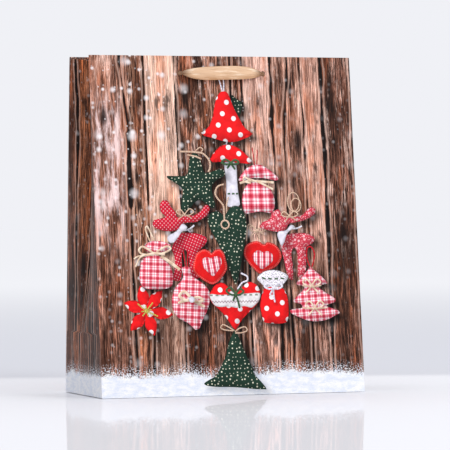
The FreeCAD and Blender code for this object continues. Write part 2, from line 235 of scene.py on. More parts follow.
class Finish:
    """A material being put together node by node."""

    def __init__(self, name, roughness=0.5, **sockets):
        self.material = bpy.data.materials.new(name)
        self.material.use_nodes = True
        self.nodes = self.material.node_tree.nodes
        self.links = self.material.node_tree.links
        self.shader = self.nodes["Principled BSDF"]
        self.shader.inputs["Roughness"].default_value = roughness
        for socket, value in sockets.items():
            self.shader.inputs[socket.replace("_", " ")].default_value = value

    def plug(self, node, socket, value):
        """Give a socket a link or a plain value."""
        target = node.inputs[socket]
        if isinstance(value, bpy.types.NodeSocket):
            self.links.new(value, target)
        elif value is not None:
            target.default_value = value

    def uv(self, name):
        node = self.nodes.new("ShaderNodeUVMap")
        node.uv_map = name
        return node.outputs["UV"]

    def place(self):
        return self.nodes.new("ShaderNodeTexCoord").outputs["Object"]

    def attribute(self, name):
        node = self.nodes.new("ShaderNodeAttribute")
        node.attribute_name = name
        split = self.nodes.new("ShaderNodeSeparateColor")
        self.links.new(node.outputs["Color"], split.inputs["Color"])
        return split.outputs["Red"], split.outputs["Green"], split.outputs["Blue"]

    def moved(self, vector, scale=(1, 1, 1), turn=0.0, shift=(0, 0, 0)):
        node = self.nodes.new("ShaderNodeMapping")
        self.links.new(vector, node.inputs["Vector"])
        node.inputs["Scale"].default_value = scale
        node.inputs["Rotation"].default_value = (0, 0, math.radians(turn))
        node.inputs["Location"].default_value = shift
        return node.outputs["Vector"]

    def split(self, vector):
        node = self.nodes.new("ShaderNodeSeparateXYZ")
        self.links.new(vector, node.inputs["Vector"])
        return node.outputs["X"], node.outputs["Y"]

    def join(self, x, y, z=0.0):
        node = self.nodes.new("ShaderNodeCombineXYZ")
        for socket, value in (("X", x), ("Y", y), ("Z", z)):
            self.plug(node, socket, value)
        return node.outputs["Vector"]

    def noise(self, vector, scale=1.0, detail=3.0, rough=0.55):
        node = self.nodes.new("ShaderNodeTexNoise")
        self.links.new(vector, node.inputs["Vector"])
        node.inputs["Scale"].default_value = scale
        node.inputs["Detail"].default_value = detail
        node.inputs["Roughness"].default_value = rough
        return node.outputs["Fac"]

    def cells(self, vector, part="Distance", randomness=1.0):
        node = self.nodes.new("ShaderNodeTexVoronoi")
        node.voronoi_dimensions = "2D"
        self.links.new(vector, node.inputs["Vector"])
        node.inputs["Scale"].default_value = 1.0
        node.inputs["Randomness"].default_value = randomness
        return node.outputs[part]

    def math(self, operation, first, second=None, third=None):
        node = self.nodes.new("ShaderNodeMath")
        node.operation = operation
        for socket, value in enumerate((first, second, third)):
            if value is not None:
                self.plug(node, socket, value)
        return node.outputs["Value"]

    def times(self, first, second):
        return self.math("MULTIPLY", first, second)

    def plus(self, first, second):
        return self.math("ADD", first, second)

    def minus(self, first, second):
        return self.math("SUBTRACT", first, second)

    def over(self, first, second):
        return self.math("DIVIDE", first, second)

    def fused(self, value, factor, more):
        """A value times a factor, and more added."""
        return self.math("MULTIPLY_ADD", value, factor, more)

    def apart(self, value, place):
        """How far a value lies from a place, on either side."""
        return self.math("ABSOLUTE", self.minus(value, place))

    def rest_of(self, cover, strength):
        """What a cover of some strength leaves of 1."""
        return self.minus(1.0, self.times(cover, strength))

    def between(self, value, low, high, out_low=0.0, out_high=1.0):
        """A smooth step from one level to another."""
        node = self.nodes.new("ShaderNodeMapRange")
        node.interpolation_type = "SMOOTHSTEP"
        for socket, number in zip(("Value", "From Min", "From Max", "To Min", "To Max"),
                                  (value, low, high, out_low, out_high)):
            self.plug(node, socket, number)
        return node.outputs["Result"]

    def mix(self, amount, first, second):
        node = self.nodes.new("ShaderNodeMix")
        node.data_type = "RGBA"
        self.plug(node, "Factor", amount)
        # the two colour sockets of a mix node
        for slot, value in ((6, first), (7, second)):
            self.plug(node, slot, value)
        return node.outputs[2]

    def scaled(self, colour, level):
        """A colour made lighter or darker by a level."""
        node = self.nodes.new("ShaderNodeVectorMath")
        node.operation = "SCALE"
        self.links.new(colour, node.inputs[0])
        self.plug(node, "Scale", level)
        return node.outputs["Vector"]

    def ramp(self, value, stops, constant=False):
        node = self.nodes.new("ShaderNodeValToRGB")
        self.links.new(value, node.inputs["Fac"])
        ramp = node.color_ramp
        ramp.interpolation = "CONSTANT" if constant else "LINEAR"
        while len(ramp.elements) < len(stops):
            ramp.elements.new(0.5)
        for element, (position, colour) in zip(ramp.elements, stops):
            element.position = position
            element.color = colour
        return node.outputs["Color"]

    def bump(self, height, distance, strength=1.0):
        node = self.nodes.new("ShaderNodeBump")
        node.inputs["Strength"].default_value = strength
        node.inputs["Distance"].default_value = distance * MM
        self.links.new(height, node.inputs["Height"])
        self.links.new(node.outputs["Normal"], self.shader.inputs["Normal"])

    def colour(self, colour):
        self.links.new(colour, self.shader.inputs["Base Color"])


def laminate_bump(finish, vector):
    """The faint orange-peel of film laminated over printed paper."""
    finish.bump(finish.noise(vector, scale=0.9, detail=4.0), 0.03, 0.5)


def wood_print():
    """Weathered planks with cracks and grain, drifting snow at the foot and soft snowflakes."""
    f = Finish("printed_wood_and_snow", roughness=0.46, Specular_IOR_Level=FILM_GLOSS)
    sheet = f.uv("sheet")
    across, up = f.split(sheet)
    turned = f.nodes.new("ShaderNodeMath")
    turned.operation = "WRAP"
    f.links.new(across, turned.inputs[0])
    turned.inputs[1].default_value = HALF_WIDTH + 2 * GUSSET
    turned.inputs[2].default_value = -HALF_WIDTH
    across = turned.outputs[0]
    here = f.join(across, up)
    wander = f.noise(f.moved(here, (0.035, 0.012, 1)), detail=2.0)
    bent = f.fused(f.minus(wander, 0.5), 6.0, across)
    grain_at = f.join(bent, up)

    # each plank's own tone, from the left crease round to the far gusset
    planks = [
        (-130, (210, 162, 142)), (-95, (196, 154, 130)), (-78, (250, 214, 194)),
        (-46.6, (166, 126, 108)), (-18, (196, 152, 132)), (8, (160, 116, 96)), (19, (244, 204, 188)),
        (48.8, (224, 176, 156)), (80, (240, 196, 178)), (100, (172, 130, 114)),
        (130, (156, 110, 88)), (152, (186, 124, 88)), (178, (140, 98, 76)),
        (212, (190, 130, 94)), (236, (164, 118, 98)),
    ]
    start, turn = -HALF_WIDTH, SHEET_TURN
    tone_at = f.over(f.minus(bent, start), turn)
    tones = [((place - start) / turn, srgb(*rgb)) for place, rgb in planks]
    base = f.ramp(tone_at, tones, constant=True)

    # long cracked grain: thin dark splits, fine fibres, and broad lighter and darker patches
    fibre = f.noise(f.moved(grain_at, (1.5, 0.045, 1)), detail=5.0, rough=0.7)
    splits = f.noise(f.moved(grain_at, (0.34, 0.011, 1)), detail=5.0, rough=0.62)
    checks = f.noise(f.moved(grain_at, (0.85, 0.030, 1), shift=(5, 2, 0)), detail=4.0, rough=0.6)
    patch = f.noise(f.moved(grain_at, (0.055, 0.013, 1), shift=(3, 1, 0)), detail=4.0, rough=0.6)
    pale = f.noise(f.moved(grain_at, (0.12, 0.020, 1), shift=(11, 5, 0)), detail=5.0, rough=0.7)
    level = f.between(fibre, 0.36, 0.60, 0.06, 1.10)
    level = f.times(level, f.between(patch, 0.38, 0.56, 0.24, 1.18))
    cloud = f.noise(f.moved(grain_at, (0.034, 0.009, 1), shift=(9, 3, 0)), detail=2.0)
    level = f.times(level, f.between(cloud, 0.36, 0.54, 0.55, 1.06))
    low_dark = f.times(f.between(up, 130.0, 40.0), f.between(across, 30.0, 80.0))
    level = f.times(level, f.rest_of(low_dark, 0.30))
    calm = [(-130, 0.42), (-95, 0.24), (-78, 0.80), (-46.6, 0.08), (-18, 0.22), (8, 0.05), (19, 0.66),
            (48.8, 0.38), (80, 0.60), (100, 0.08), (130, 0.10), (152, 0.16), (178, 0.06), (212, 0.16),
            (236, 0.10)]
    calmer = f.ramp(tone_at, [((place - start) / turn, (quiet, quiet, quiet, 1)) for place, quiet in calm],
                    constant=True)
    calmer = f.split(calmer)[0]
    calmer = f.times(calmer, f.between(up, 60.0, 170.0, 0.45, 1.0))
    level = f.fused(level, f.minus(1.0, calmer), f.times(calmer, 1.04))
    split_line = f.between(f.apart(splits, 0.5), 0.055, 0.008, 0.0, 0.95)
    check_line = f.between(f.apart(checks, 0.5), 0.045, 0.004, 0.0, 0.70)
    bold = f.rest_of(calmer, 0.9)
    level = f.times(level, f.rest_of(split_line, bold))
    level = f.times(level, f.rest_of(check_line, bold))
    heart_tone = f.mix(level, srgb(164, 102, 74), base)
    wood = f.mix(level, srgb(34, 24, 20), heart_tone)
    weathered = f.times(f.between(pale, 0.50, 0.62), f.between(fibre, 0.42, 0.58))
    weathered = f.times(weathered, f.between(up, 100.0, 230.0, 0.12, 0.80))
    weathered = f.times(weathered, f.between(across, 136.0, 128.0, 0.15, 1.0))
    wood = f.mix(weathered, wood, srgb(240, 208, 194))
    rusty = f.between(f.noise(f.moved(grain_at, (0.09, 0.014, 1), shift=(2, 9, 0)), detail=3.0), 0.50, 0.62)
    rust_level = f.between(across, 110.0, 140.0, 0.40, 0.34)
    wood = f.mix(f.times(f.times(rusty, rust_level), level), wood, srgb(212, 116, 60))

    # hair cracks in clusters, and pale worn ridges beside them
    hairs = f.noise(f.moved(grain_at, (0.60, 0.0085, 1), shift=(1, 7, 0)), detail=4.0, rough=0.6)
    hair_line = f.between(f.apart(hairs, 0.5), 0.030, 0.006)
    cluster = f.noise(f.moved(grain_at, (0.05, 0.012, 1), shift=(6, 8, 0)), detail=3.0, rough=0.6)
    wood = f.mix(f.times(hair_line, f.between(cluster, 0.42, 0.56, 0.25, 0.92)), wood, srgb(26, 15, 13))
    wood = f.scaled(wood, f.between(f.noise(f.moved(grain_at, (1.1, 0.03, 1), shift=(4, 4, 0)), detail=4.0),
                                    0.48, 0.64, 1.0, 1.55))
    smudge = f.noise(f.moved(grain_at, (0.085, 0.024, 1), shift=(12, 3, 0)), detail=4.0, rough=0.6)
    wood = f.mix(f.between(smudge, 0.585, 0.68, 0.0, 0.74), wood, srgb(44, 30, 26))
    frost = f.times(f.between(across, -96.0, -108.0), f.between(up, 120.0, 190.0))
    frost = f.times(frost, f.between(up, 300.0, 250.0))
    wood = f.mix(f.times(frost, f.between(pale, 0.42, 0.60, 0.0, 0.75)), wood, srgb(246, 222, 220))

    # knots: a dark heart with the grain curling round it
    knots = ((67, 291, 6.5), (74, 240, 9), (-88, 205, 4.5), (-87, 178, 4), (-38, 281, 7), (80, 226, 5),
             (116, 150, 7), (-118, 262, 6), (58, 58, 7), (-74, 56, 6), (196, 210, 8), (166, 120, 9))
    for knot_x, knot_y, size in knots:
        dx = f.over(f.minus(across, knot_x), size * 0.6)
        dy = f.over(f.minus(up, knot_y), size * 1.7)
        reach = f.math("SQRT", f.plus(f.times(dx, dx), f.times(dy, dy)))
        reach = f.fused(f.minus(fibre, 0.5), 1.5, reach)
        wood = f.mix(f.between(reach, 1.25, 0.25, 0.0, 0.88), wood, srgb(32, 20, 18))

    # cracks between the planks, which narrow and widen as they climb
    ragged = f.noise(f.moved(here, (0.22, 0.045, 1), shift=(1, 4, 0)), detail=4.0, rough=0.6)
    opening = f.noise(f.moved(here, (0.012, 0.022, 1), shift=(8, 2, 0)), detail=2.0)
    cracks = ((-95, 0.8, 6.0), (-78, 0.7, 0.0), (-46.6, 0.7, 0.0), (8, 0.5, 0.0), (19, 0.5, 0.0),
              (48.8, 1.2, 0.0), (60, 0.6, -5.0), (80, 0.5, 3.0), (100, 1.3, 0.0), (130, 0.3, 0.0),
              (152, 1.3, 4.0), (178, 1.6, 0.0), (212, 1.3, -4.0), (236, 1.2, 0.0))
    for crack, width, slant in cracks:
        drawn = f.plus(bent, f.between(up, 248.0, 322.0, 0.0, slant)) if slant else bent
        gap = f.apart(drawn, crack)
        gap = f.fused(f.minus(ragged, 0.5), 2.4, gap)
        wide = f.between(opening, 0.38, 0.62, width * 0.5, width * 1.4)
        if crack == -95:
            hole = f.between(f.apart(up, 212.0), 38.0, 34.0, 0.0, 1.3)
            wide = f.plus(wide, hole)
        inside = f.minus(gap, wide)
        wood = f.mix(f.between(inside, 0.55, -0.35, 0.0, 0.97), wood, srgb(18, 12, 11))
        lip = f.between(f.apart(inside, 1.7), 1.3, 0.2, 0.0, 0.34)
        wood = f.mix(lip, wood, srgb(240, 206, 190))

    deepened = f.nodes.new("ShaderNodeGamma")
    deepened.inputs["Gamma"].default_value = 1.2
    f.links.new(wood, deepened.inputs["Color"])
    wood = f.scaled(deepened.outputs["Color"], 1.19)

    # what lies on the wood throws a soft shadow on it
    shade = f.attribute("shade")
    wood = f.scaled(wood, f.rest_of(shade[1], 0.90))

    # soft snowflakes out of focus, thicker towards the upper left
    near_left = f.between(across, 90.0, -110.0, 0.22, 1.0)
    near_top = f.between(up, 40.0, 280.0, 0.35, 1.0)
    for size, low, high, level, rare in ((0.036, 0.0, 0.24, 0.80, 0.60), (0.062, 0.02, 0.24, 0.95, 0.62),
                                         (0.11, 0.04, 0.25, 0.90, 0.62), (0.19, 0.06, 0.22, 0.55, 0.72)):
        spot = f.moved(here, (size, size, 1), shift=(size * 90, size * 37, 0))
        reach = f.cells(spot, part="Distance")
        tone = f.split(f.cells(spot, part="Color"))[0]
        flake = f.between(reach, high, low)
        flake = f.times(flake, f.between(tone, rare, 0.98))
        flake = f.times(flake, f.times(near_left, near_top))
        wood = f.mix(f.times(flake, level), wood, srgb(252, 244, 244))

    # drifted snow along the foot, with a ragged crust
    drift = f.noise(f.moved(here, (0.028, 0.001, 1), shift=(7, 0, 0)), detail=2.0)
    crust = f.noise(f.moved(here, (0.35, 0.30, 1)), detail=7.0, rough=0.78)
    crumbs = f.noise(f.moved(here, (1.5, 1.2, 1)), detail=3.0, rough=0.7)
    top = f.fused(drift, 17.0, 12.5)
    over = f.minus(top, up)
    over = f.fused(f.minus(crust, 0.5), 17.0, over)
    over = f.fused(f.minus(crumbs, 0.5), 12.0, over)
    banks = f.noise(f.moved(here, (0.10, 0.20, 1)), detail=7.0, rough=0.75)
    snow = f.mix(f.between(banks, 0.38, 0.62), srgb(230, 236, 248), srgb(254, 254, 255))
    glitter = f.between(crumbs, 0.35, 0.6, 0.93, 1.02)
    snow = f.scaled(snow, glitter)
    # painted shade: the snow on the gusset is made darker than the front's, standing in for the shade that
    # side falls in
    snow = f.scaled(snow, f.between(across, 129.0, 134.0, 0.94, 0.78))
    snow = f.scaled(snow, f.rest_of(shade[1], 0.35))
    specks = f.noise(f.moved(here, (0.75, 0.70, 1), shift=(3, 8, 0)), detail=2.0, rough=0.5)
    frosting = f.times(f.between(over, -11.0, 0.0), f.between(specks, 0.53, 0.57, 0.0, 0.95))
    wood = f.mix(frosting, wood, snow)
    result = f.mix(f.between(over, -1.0, 2.6), wood, snow)

    # a pale line along each crease: painted highlight on the rounded fold, together with the film's slight
    # whitening there
    crease_gap = f.apart(f.math("ABSOLUTE", across), HALF_WIDTH)
    result = f.mix(f.between(crease_gap, 0.5, 0.1, 0.0, 0.16), result, srgb(216, 204, 198))
    f.colour(result)
    laminate_bump(f, here)
    return f.material


def puffed(f, colour, lowest=0.42, highest=1.28):
    """A printed cloth colour, lit and shadowed as the stuffed shape it pictures."""
    light, shadow, _ = f.attribute("shade")
    colour = f.scaled(colour, f.between(light, 0.0, 1.0, lowest, highest))
    edge, _ = f.split(f.uv("rim"))
    # painted shade: darker within about a millimetre of each outline, where the pictured shape curls under
    colour = f.scaled(colour, f.between(edge, 0.0, 1.3, 0.72, 1.0))
    return f.scaled(colour, f.rest_of(shadow, 0.6))


def dots(f, vector, pitch, radius, turn=0.0, soft=0.12):
    """A square lattice of round spots."""
    spread = f.moved(vector, (1 / pitch, 1 / pitch, 1), turn)
    x, y = f.split(spread)
    x = f.minus(f.math("FRACT", x), 0.5)
    y = f.minus(f.math("FRACT", y), 0.5)
    reach = f.math("SQRT", f.plus(f.times(x, x), f.times(y, y)))
    size = radius / pitch
    return f.between(reach, size * (1 + soft), size * (1 - soft))


def cloth_weave(f, vector, pitch=0.55):
    """Fine crossed threads as a light and dark factor."""
    x, y = f.split(f.moved(vector, (6.283 / pitch, 6.283 / pitch, 1)))
    return f.fused(f.times(f.math("SINE", x), f.math("SINE", y)), 0.5, 0.5)


def printed_cloth(name, make_colour, lowest=0.42, highest=1.28):
    """A cloth picture under the film: its pattern, its weave and its stuffed shading."""
    f = Finish(name, roughness=0.46, Specular_IOR_Level=FILM_GLOSS)
    cloth = f.uv("cloth")
    colour = make_colour(f, cloth)
    colour = f.scaled(colour, f.between(cloth_weave(f, cloth), 0.0, 1.0, 0.93, 1.04))
    mottle = f.noise(f.moved(cloth, (0.16, 0.16, 1)), detail=3.0)
    colour = f.scaled(colour, f.between(mottle, 0.3, 0.7, 0.88, 1.10))
    f.colour(puffed(f, colour, lowest, highest))
    laminate_bump(f, cloth)
    return f.material


def big_spots(f, cloth):
    spots = dots(f, cloth, 11.8, 2.35, turn=23.0)
    return f.mix(spots, srgb(236, 26, 30), srgb(252, 244, 244))


def pin_spots(f, cloth):
    spots = dots(f, cloth, 2.7, 0.52, turn=32.0, soft=0.30)
    return f.mix(f.times(spots, 0.8), srgb(204, 34, 56), srgb(250, 200, 204))


def flower_spots(f, cloth):
    reach = f.cells(f.moved(cloth, (0.17, 0.17, 1)), part="Distance")
    ripple = f.noise(f.moved(cloth, (0.75, 0.75, 1)), detail=2.0)
    reach = f.fused(f.minus(ripple, 0.5), 0.32, reach)
    colour = f.mix(f.between(reach, 0.24, 0.13, 0.0, 0.80), srgb(202, 62, 78), srgb(246, 196, 200))
    small = f.cells(f.moved(cloth, (0.46, 0.46, 1)), part="Distance")
    return f.mix(f.between(small, 0.26, 0.16, 0.0, 0.75), colour, srgb(244, 190, 192))


def cream_specks(f, cloth):
    colour = f.mix(f.noise(f.moved(cloth, (0.06, 0.06, 1)), detail=3.0), srgb(18, 38, 30), srgb(42, 70, 55))
    spot = f.moved(cloth, (0.27, 0.27, 1), shift=(3, 2, 0))
    reach = f.cells(spot, part="Distance", randomness=0.62)
    kept = f.between(f.split(f.cells(spot, part="Color", randomness=0.62))[0], 0.10, 0.20)
    size = f.between(f.split(f.cells(spot, part="Color", randomness=0.62))[1], 0.0, 1.0, 0.09, 0.20)
    dot = f.times(f.between(f.minus(reach, size), 0.05, -0.04), kept)
    return f.mix(dot, colour, srgb(228, 226, 200))


def checked(pitch, aspect=1.0, level_up=1.0):
    """A woven check: broad bands, each with a thin stripe beside it, crossing a white ground."""
    def colour(f, cloth):
        x, y = f.split(f.moved(cloth, (1 / pitch, aspect / pitch, 1)))
        bands = []
        for way in (x, y):
            place = f.math("FRACT", way)
            broad = f.between(f.apart(place, 0.30), 0.265, 0.205)
            core = f.between(f.apart(place, 0.30), 0.09, 0.05)
            thin = f.between(f.apart(place, 0.80), 0.070, 0.035)
            band = f.fused(core, 0.30, f.times(broad, 0.62))
            bands.append(f.math("MAXIMUM", band, f.times(thin, 0.62)))
        stronger = f.times(bands[0], 0.5 * (2 - level_up))
        both = f.plus(stronger, f.times(bands[1], 0.5 * level_up))
        thread = f.math("SINE", f.times(f.plus(x, y), 6.283 * pitch / 0.75))
        both = f.fused(thread, 0.05, both)
        reds = [(0.0, srgb(252, 240, 240)), (0.28, srgb(242, 166, 176)), (0.52, srgb(222, 88, 108)),
                (0.9, srgb(184, 20, 42))]
        return f.ramp(both, reds)
    return colour


def stitched_felt(f, cloth):
    fuzz = f.noise(f.moved(cloth, (0.9, 0.9, 1)), detail=5.0, rough=0.7)
    colour = f.mix(fuzz, srgb(206, 14, 20), srgb(242, 34, 34))
    edge, along = f.split(f.uv("rim"))
    dash = f.between(f.math("FRACT", f.over(along, 1.9)), 0.30, 0.42)
    row = f.between(f.apart(edge, 1.0), 1.0, 0.5)
    return f.mix(f.times(f.times(dash, row), 0.55), colour, srgb(244, 128, 118))


def white_linen(f, cloth):
    slub = f.noise(f.moved(cloth, (0.2, 0.2, 1)), detail=3.0)
    return f.mix(slub, srgb(214, 208, 226), srgb(250, 248, 252))


def lace(f, cloth):
    eyelets = f.cells(f.moved(cloth, (0.46, 0.62, 1)), part="Distance")
    return f.mix(f.between(eyelets, 0.34, 0.22, 0.0, 0.55), srgb(250, 246, 252), srgb(96, 74, 104))


def lace_band(f, cloth):
    """Cream lace with a row of green dashes and a dark red zigzag."""
    x, y = f.split(cloth)
    weave = f.noise(f.moved(cloth, (0.3, 0.3, 1)), detail=3.0)
    colour = f.mix(weave, srgb(226, 218, 220), srgb(250, 247, 246))
    dash = f.between(f.math("FRACT", f.over(x, 5.6)), 0.45, 0.55)
    row = f.between(f.apart(y, 4.6), 1.0, 0.5)
    colour = f.mix(f.times(f.times(dash, row), 0.8), colour, srgb(88, 104, 66))
    wave = f.times(f.math("PINGPONG", x, 1.5), 1.1)
    zigzag = f.apart(f.minus(y, -2.4), wave)
    return f.mix(f.between(zigzag, 0.75, 0.35, 0.0, 0.7), colour, srgb(122, 58, 82))


def twisted(name, pale, dark, pitch=2.2):
    """A twisted string or strand of raffia, striped across its lay."""
    def colour(f, cloth):
        edge, along = f.split(f.uv("rim"))
        lay = f.math("SINE", f.times(f.plus(along, f.times(edge, 1.6)), 6.283 / pitch))
        strand = f.between(lay, -0.6, 0.7, 0.0, 0.65)
        fade = f.noise(f.moved(cloth, (0.12, 0.12, 1)), detail=2.0)
        return f.mix(f.times(strand, f.between(fade, 0.3, 0.7, 0.5, 1.1)), srgb(*pale), srgb(*dark))
    f = Finish(name, roughness=0.46, Specular_IOR_Level=FILM_GLOSS)
    cloth = f.uv("cloth")
    light, shadow, _ = f.attribute("shade")
    result = f.scaled(colour(f, cloth), f.between(light, 0.0, 1.0, 0.62, 1.12))
    f.colour(f.scaled(result, f.rest_of(shadow, 0.6)))
    laminate_bump(f, cloth)
    return f.material


def bare_paper():
    """The unprinted inside of the sheet: soft white with short fibres."""
    f = Finish("bare_white_paper", roughness=0.78, Specular_IOR_Level=0.25)
    place = f.moved(f.place(), (1000, 1000, 1000))
    fibre = f.noise(f.moved(place, (0.5, 1.6, 0.9)), detail=5.0, rough=0.65)
    cloud = f.noise(f.moved(place, (0.03, 0.03, 0.03)), detail=2.0)
    colour = f.mix(cloud, srgb(236, 235, 231), srgb(246, 246, 244))
    f.colour(f.scaled(colour, f.between(fibre, 0.3, 0.7, 0.97, 1.02)))
    f.bump(fibre, 0.04, 0.35)
    return f.material


def snow_paper():
    """The underside of the bag, printed with the same pale snow as its foot."""
    f = Finish("printed_snow_underside", roughness=0.45, Specular_IOR_Level=FILM_GLOSS)
    place = f.moved(f.place(), (1000, 1000, 1000))
    drift = f.noise(f.moved(place, (0.05, 0.05, 0.05)), detail=4.0)
    colour = f.mix(drift, srgb(214, 222, 236), srgb(246, 248, 252))
    scuff = f.noise(f.moved(place, (0.4, 0.03, 1.0)), detail=5.0, rough=0.7)
    colour = f.mix(f.between(scuff, 0.62, 0.75, 0.0, 0.25), colour, srgb(176, 170, 168))
    f.colour(colour)
    f.bump(f.noise(place, scale=0.8, detail=3.0), 0.03, 0.5)
    return f.material


def grey_board():
    """Recycled grey card with flecks of other paper in it."""
    f = Finish("recycled_grey_board", roughness=0.86, Specular_IOR_Level=0.2)
    place = f.moved(f.place(), (1000, 1000, 1000))
    cloud = f.noise(f.moved(place, (0.12, 0.12, 0.12)), detail=5.0, rough=0.7)
    colour = f.mix(cloud, srgb(150, 144, 134), srgb(184, 178, 168))
    fleck = f.cells(f.moved(place, (0.55, 0.8, 1)), part="Distance")
    colour = f.mix(f.between(fleck, 0.16, 0.08, 0.0, 0.55), colour, srgb(96, 90, 86))
    pale = f.cells(f.moved(place, (0.3, 0.42, 1), shift=(5, 3, 0)), part="Distance")
    colour = f.mix(f.between(pale, 0.14, 0.06, 0.0, 0.5), colour, srgb(226, 222, 214))
    f.colour(colour)
    f.bump(f.noise(place, scale=1.4, detail=5.0), 0.08, 0.6)
    return f.material


def satin():
    """Beige-gold satin: a lengthwise sheen, pulled threads, painted shade and highlight in its folds, and
    painted shade along its lower edge and at its gathered ends.
    """
    f = Finish("beige_gold_satin", roughness=0.36, Specular_IOR_Level=0.42, Sheen_Weight=0.30,
               Sheen_Roughness=0.35, Anisotropic=0.55)
    f.shader.inputs["Sheen Tint"].default_value = srgb(255, 230, 204)
    ribbon = f.uv("ribbon")
    along, across = f.split(ribbon)
    ribs = f.math("SINE", f.times(along, 6.283 / 0.42))
    threads = f.noise(f.moved(ribbon, (0.05, 2.4, 1)), detail=4.0, rough=0.6)
    folds = f.noise(f.moved(ribbon, (0.045, 0.34, 1), shift=(4, 2, 0)), detail=3.0, rough=0.55)
    colour = f.mix(threads, srgb(206, 162, 120), srgb(238, 202, 168))
    # painted shade in the ribbon's folds, and a painted highlight on the smoother parts between them
    colour = f.mix(f.between(folds, 0.52, 0.70, 0.0, 0.42), colour, srgb(176, 122, 78))
    colour = f.mix(f.between(folds, 0.46, 0.34, 0.0, 0.55), colour, srgb(255, 234, 208))
    edge = f.between(f.math("ABSOLUTE", across), 5.9, 6.3, 0.0, 0.5)
    colour = f.mix(edge, colour, srgb(188, 142, 100))
    # painted shade along the ribbon's lower edge, which faces down
    lower = f.times(f.between(across, -1.0, -6.0), f.between(folds, 0.40, 0.60, 0.30, 0.85))
    colour = f.mix(lower, colour, srgb(176, 124, 78))
    # painted shade at the ends, where the ribbon is gathered into its holes; the hanging ends and the
    # knots, whose map starts past 40 mm, take the same darkening all over
    end = f.between(f.math("ABSOLUTE", along), 29.0, 40.0)
    end = f.times(end, f.between(threads, 0.35, 0.6, 1.0, 0.7))
    colour = f.mix(end, colour, srgb(104, 60, 26))
    f.colour(colour)
    f.bump(f.fused(ribs, 0.10, f.times(threads, 0.7)), 0.16, 0.6)
    return f.material


# ------------------------------------------------------------------ the printed picture

CLOTHS = {}


def smooth_line(points, closed, step):
    """A smooth line through given points; a point with a third number is a sharp corner."""
    spots = [np.array(point[:2], float) for point in points]
    sharp = [len(point) > 2 for point in points]
    count = len(spots)
    line = []
    for index in range(count if closed else count - 1):
        after = (index + 1) % count
        first, last = spots[index], spots[after]
        before = spots[index - 1] if (closed or index > 0) else first
        beyond = spots[(index + 2) % count] if (closed or index + 2 < count) else last
        leave = (last - before) * 0.5 * (0.0 if sharp[index] else 1.0)
        arrive = (beyond - first) * 0.5 * (0.0 if sharp[after] else 1.0)
        length = float(np.linalg.norm(last - first))
        limit = 1.1 * length
        for tangent in (leave, arrive):
            size = float(np.linalg.norm(tangent))
            if size > limit:
                tangent *= limit / size
        parts = max(1, int(math.ceil(length / step)))
        for part in range(parts):
            t = part / parts
            line.append((2 * t ** 3 - 3 * t ** 2 + 1) * first + (t ** 3 - 2 * t ** 2 + t) * leave
                        + (3 * t ** 2 - 2 * t ** 3) * last + (t ** 3 - t ** 2) * arrive)
    if not closed:
        line.append(spots[-1])
    return np.array(line)


def counterclockwise(outline):
    """A closed outline, turned round if it runs clockwise."""
    x, y = outline[:, 0], outline[:, 1]
    area = np.sum(x * np.roll(y, -1) - np.roll(x, -1) * y)
    return outline if area > 0 else outline[::-1].copy()


def nearest_on_line(points, line, closed):
    """For each point: its distance to a line, the direction to it, and the length along it."""
    start = line if closed else line[:-1]
    end = np.roll(line, -1, axis=0) if closed else line[1:]
    run = end - start
    lengths = np.linalg.norm(run, axis=1)
    lengths = np.maximum(lengths, 1e-6)
    passed = np.concatenate([[0.0], np.cumsum(lengths)[:-1]])
    gap = points[:, None, :] - start[None]
    t = np.clip((gap * run[None]).sum(-1) / (lengths ** 2)[None], 0, 1)
    offset = gap - t[..., None] * run[None]
    squared = (offset ** 2).sum(-1)
    best = squared.argmin(axis=1)
    rows = np.arange(len(points))
    distance = np.sqrt(squared[rows, best])
    away = -offset[rows, best] / np.maximum(distance, 1e-6)[:, None]
    along = passed[best] + t[rows, best] * lengths[best]
    return distance, away, along


def inside_outline(points, outline):
    """Which points lie inside a closed outline."""
    x, y = points[:, 0, None], points[:, 1, None]
    ax, ay = outline[None, :, 0], outline[None, :, 1]
    after = np.roll(outline, -1, axis=0)
    bx, by = after[None, :, 0], after[None, :, 1]
    crosses = (ay > y) != (by > y)
    rise = np.where(by == ay, 1e-9, by - ay)
    left = x < (bx - ax) * (y - ay) / rise + ax
    return (np.sum(crosses & left, axis=1) % 2) == 1


class Patch:
    """A stuffed cloth shape in the print."""

    def __init__(self, cloth, points, puff=9.0, turn=0.0, step=2.2, casts=1.0, dark=0.0):
        self.cloth = cloth
        self.line = counterclockwise(smooth_line(points, True, step))
        self.puff = puff
        self.turn = math.radians(turn)
        self.casts = casts
        self.dark = dark
        self.centre = self.line.mean(axis=0)

    def faces(self):
        return [self.line]

    def depth_inside(self, points):
        distance, _, _ = nearest_on_line(points, self.line, True)
        return np.where(inside_outline(points, self.line), distance, -distance)

    def rim(self, points):
        distance, away, along = nearest_on_line(points, self.line, True)
        slope = np.clip(1 - distance / self.puff, 0, 1) ** 1.6
        return distance, along, away, slope

    def cloth_map(self, points):
        gap = points - self.centre
        turned = Matrix.Rotation(self.turn, 2)
        return gap @ np.array(turned).T

    def filling(self):
        """Extra points inside the shape, so its shading is smooth."""
        low, high = self.line.min(axis=0), self.line.max(axis=0)
        pitch = 2.4
        xs = np.arange(low[0], high[0], pitch)
        ys = np.arange(low[1], high[1], pitch)
        grid = np.array([(x + (row % 2) * pitch / 2, y) for row, y in enumerate(ys) for x in xs])
        if not len(grid):
            return grid.reshape(0, 2)
        return grid[self.depth_inside(grid) > 0.9]


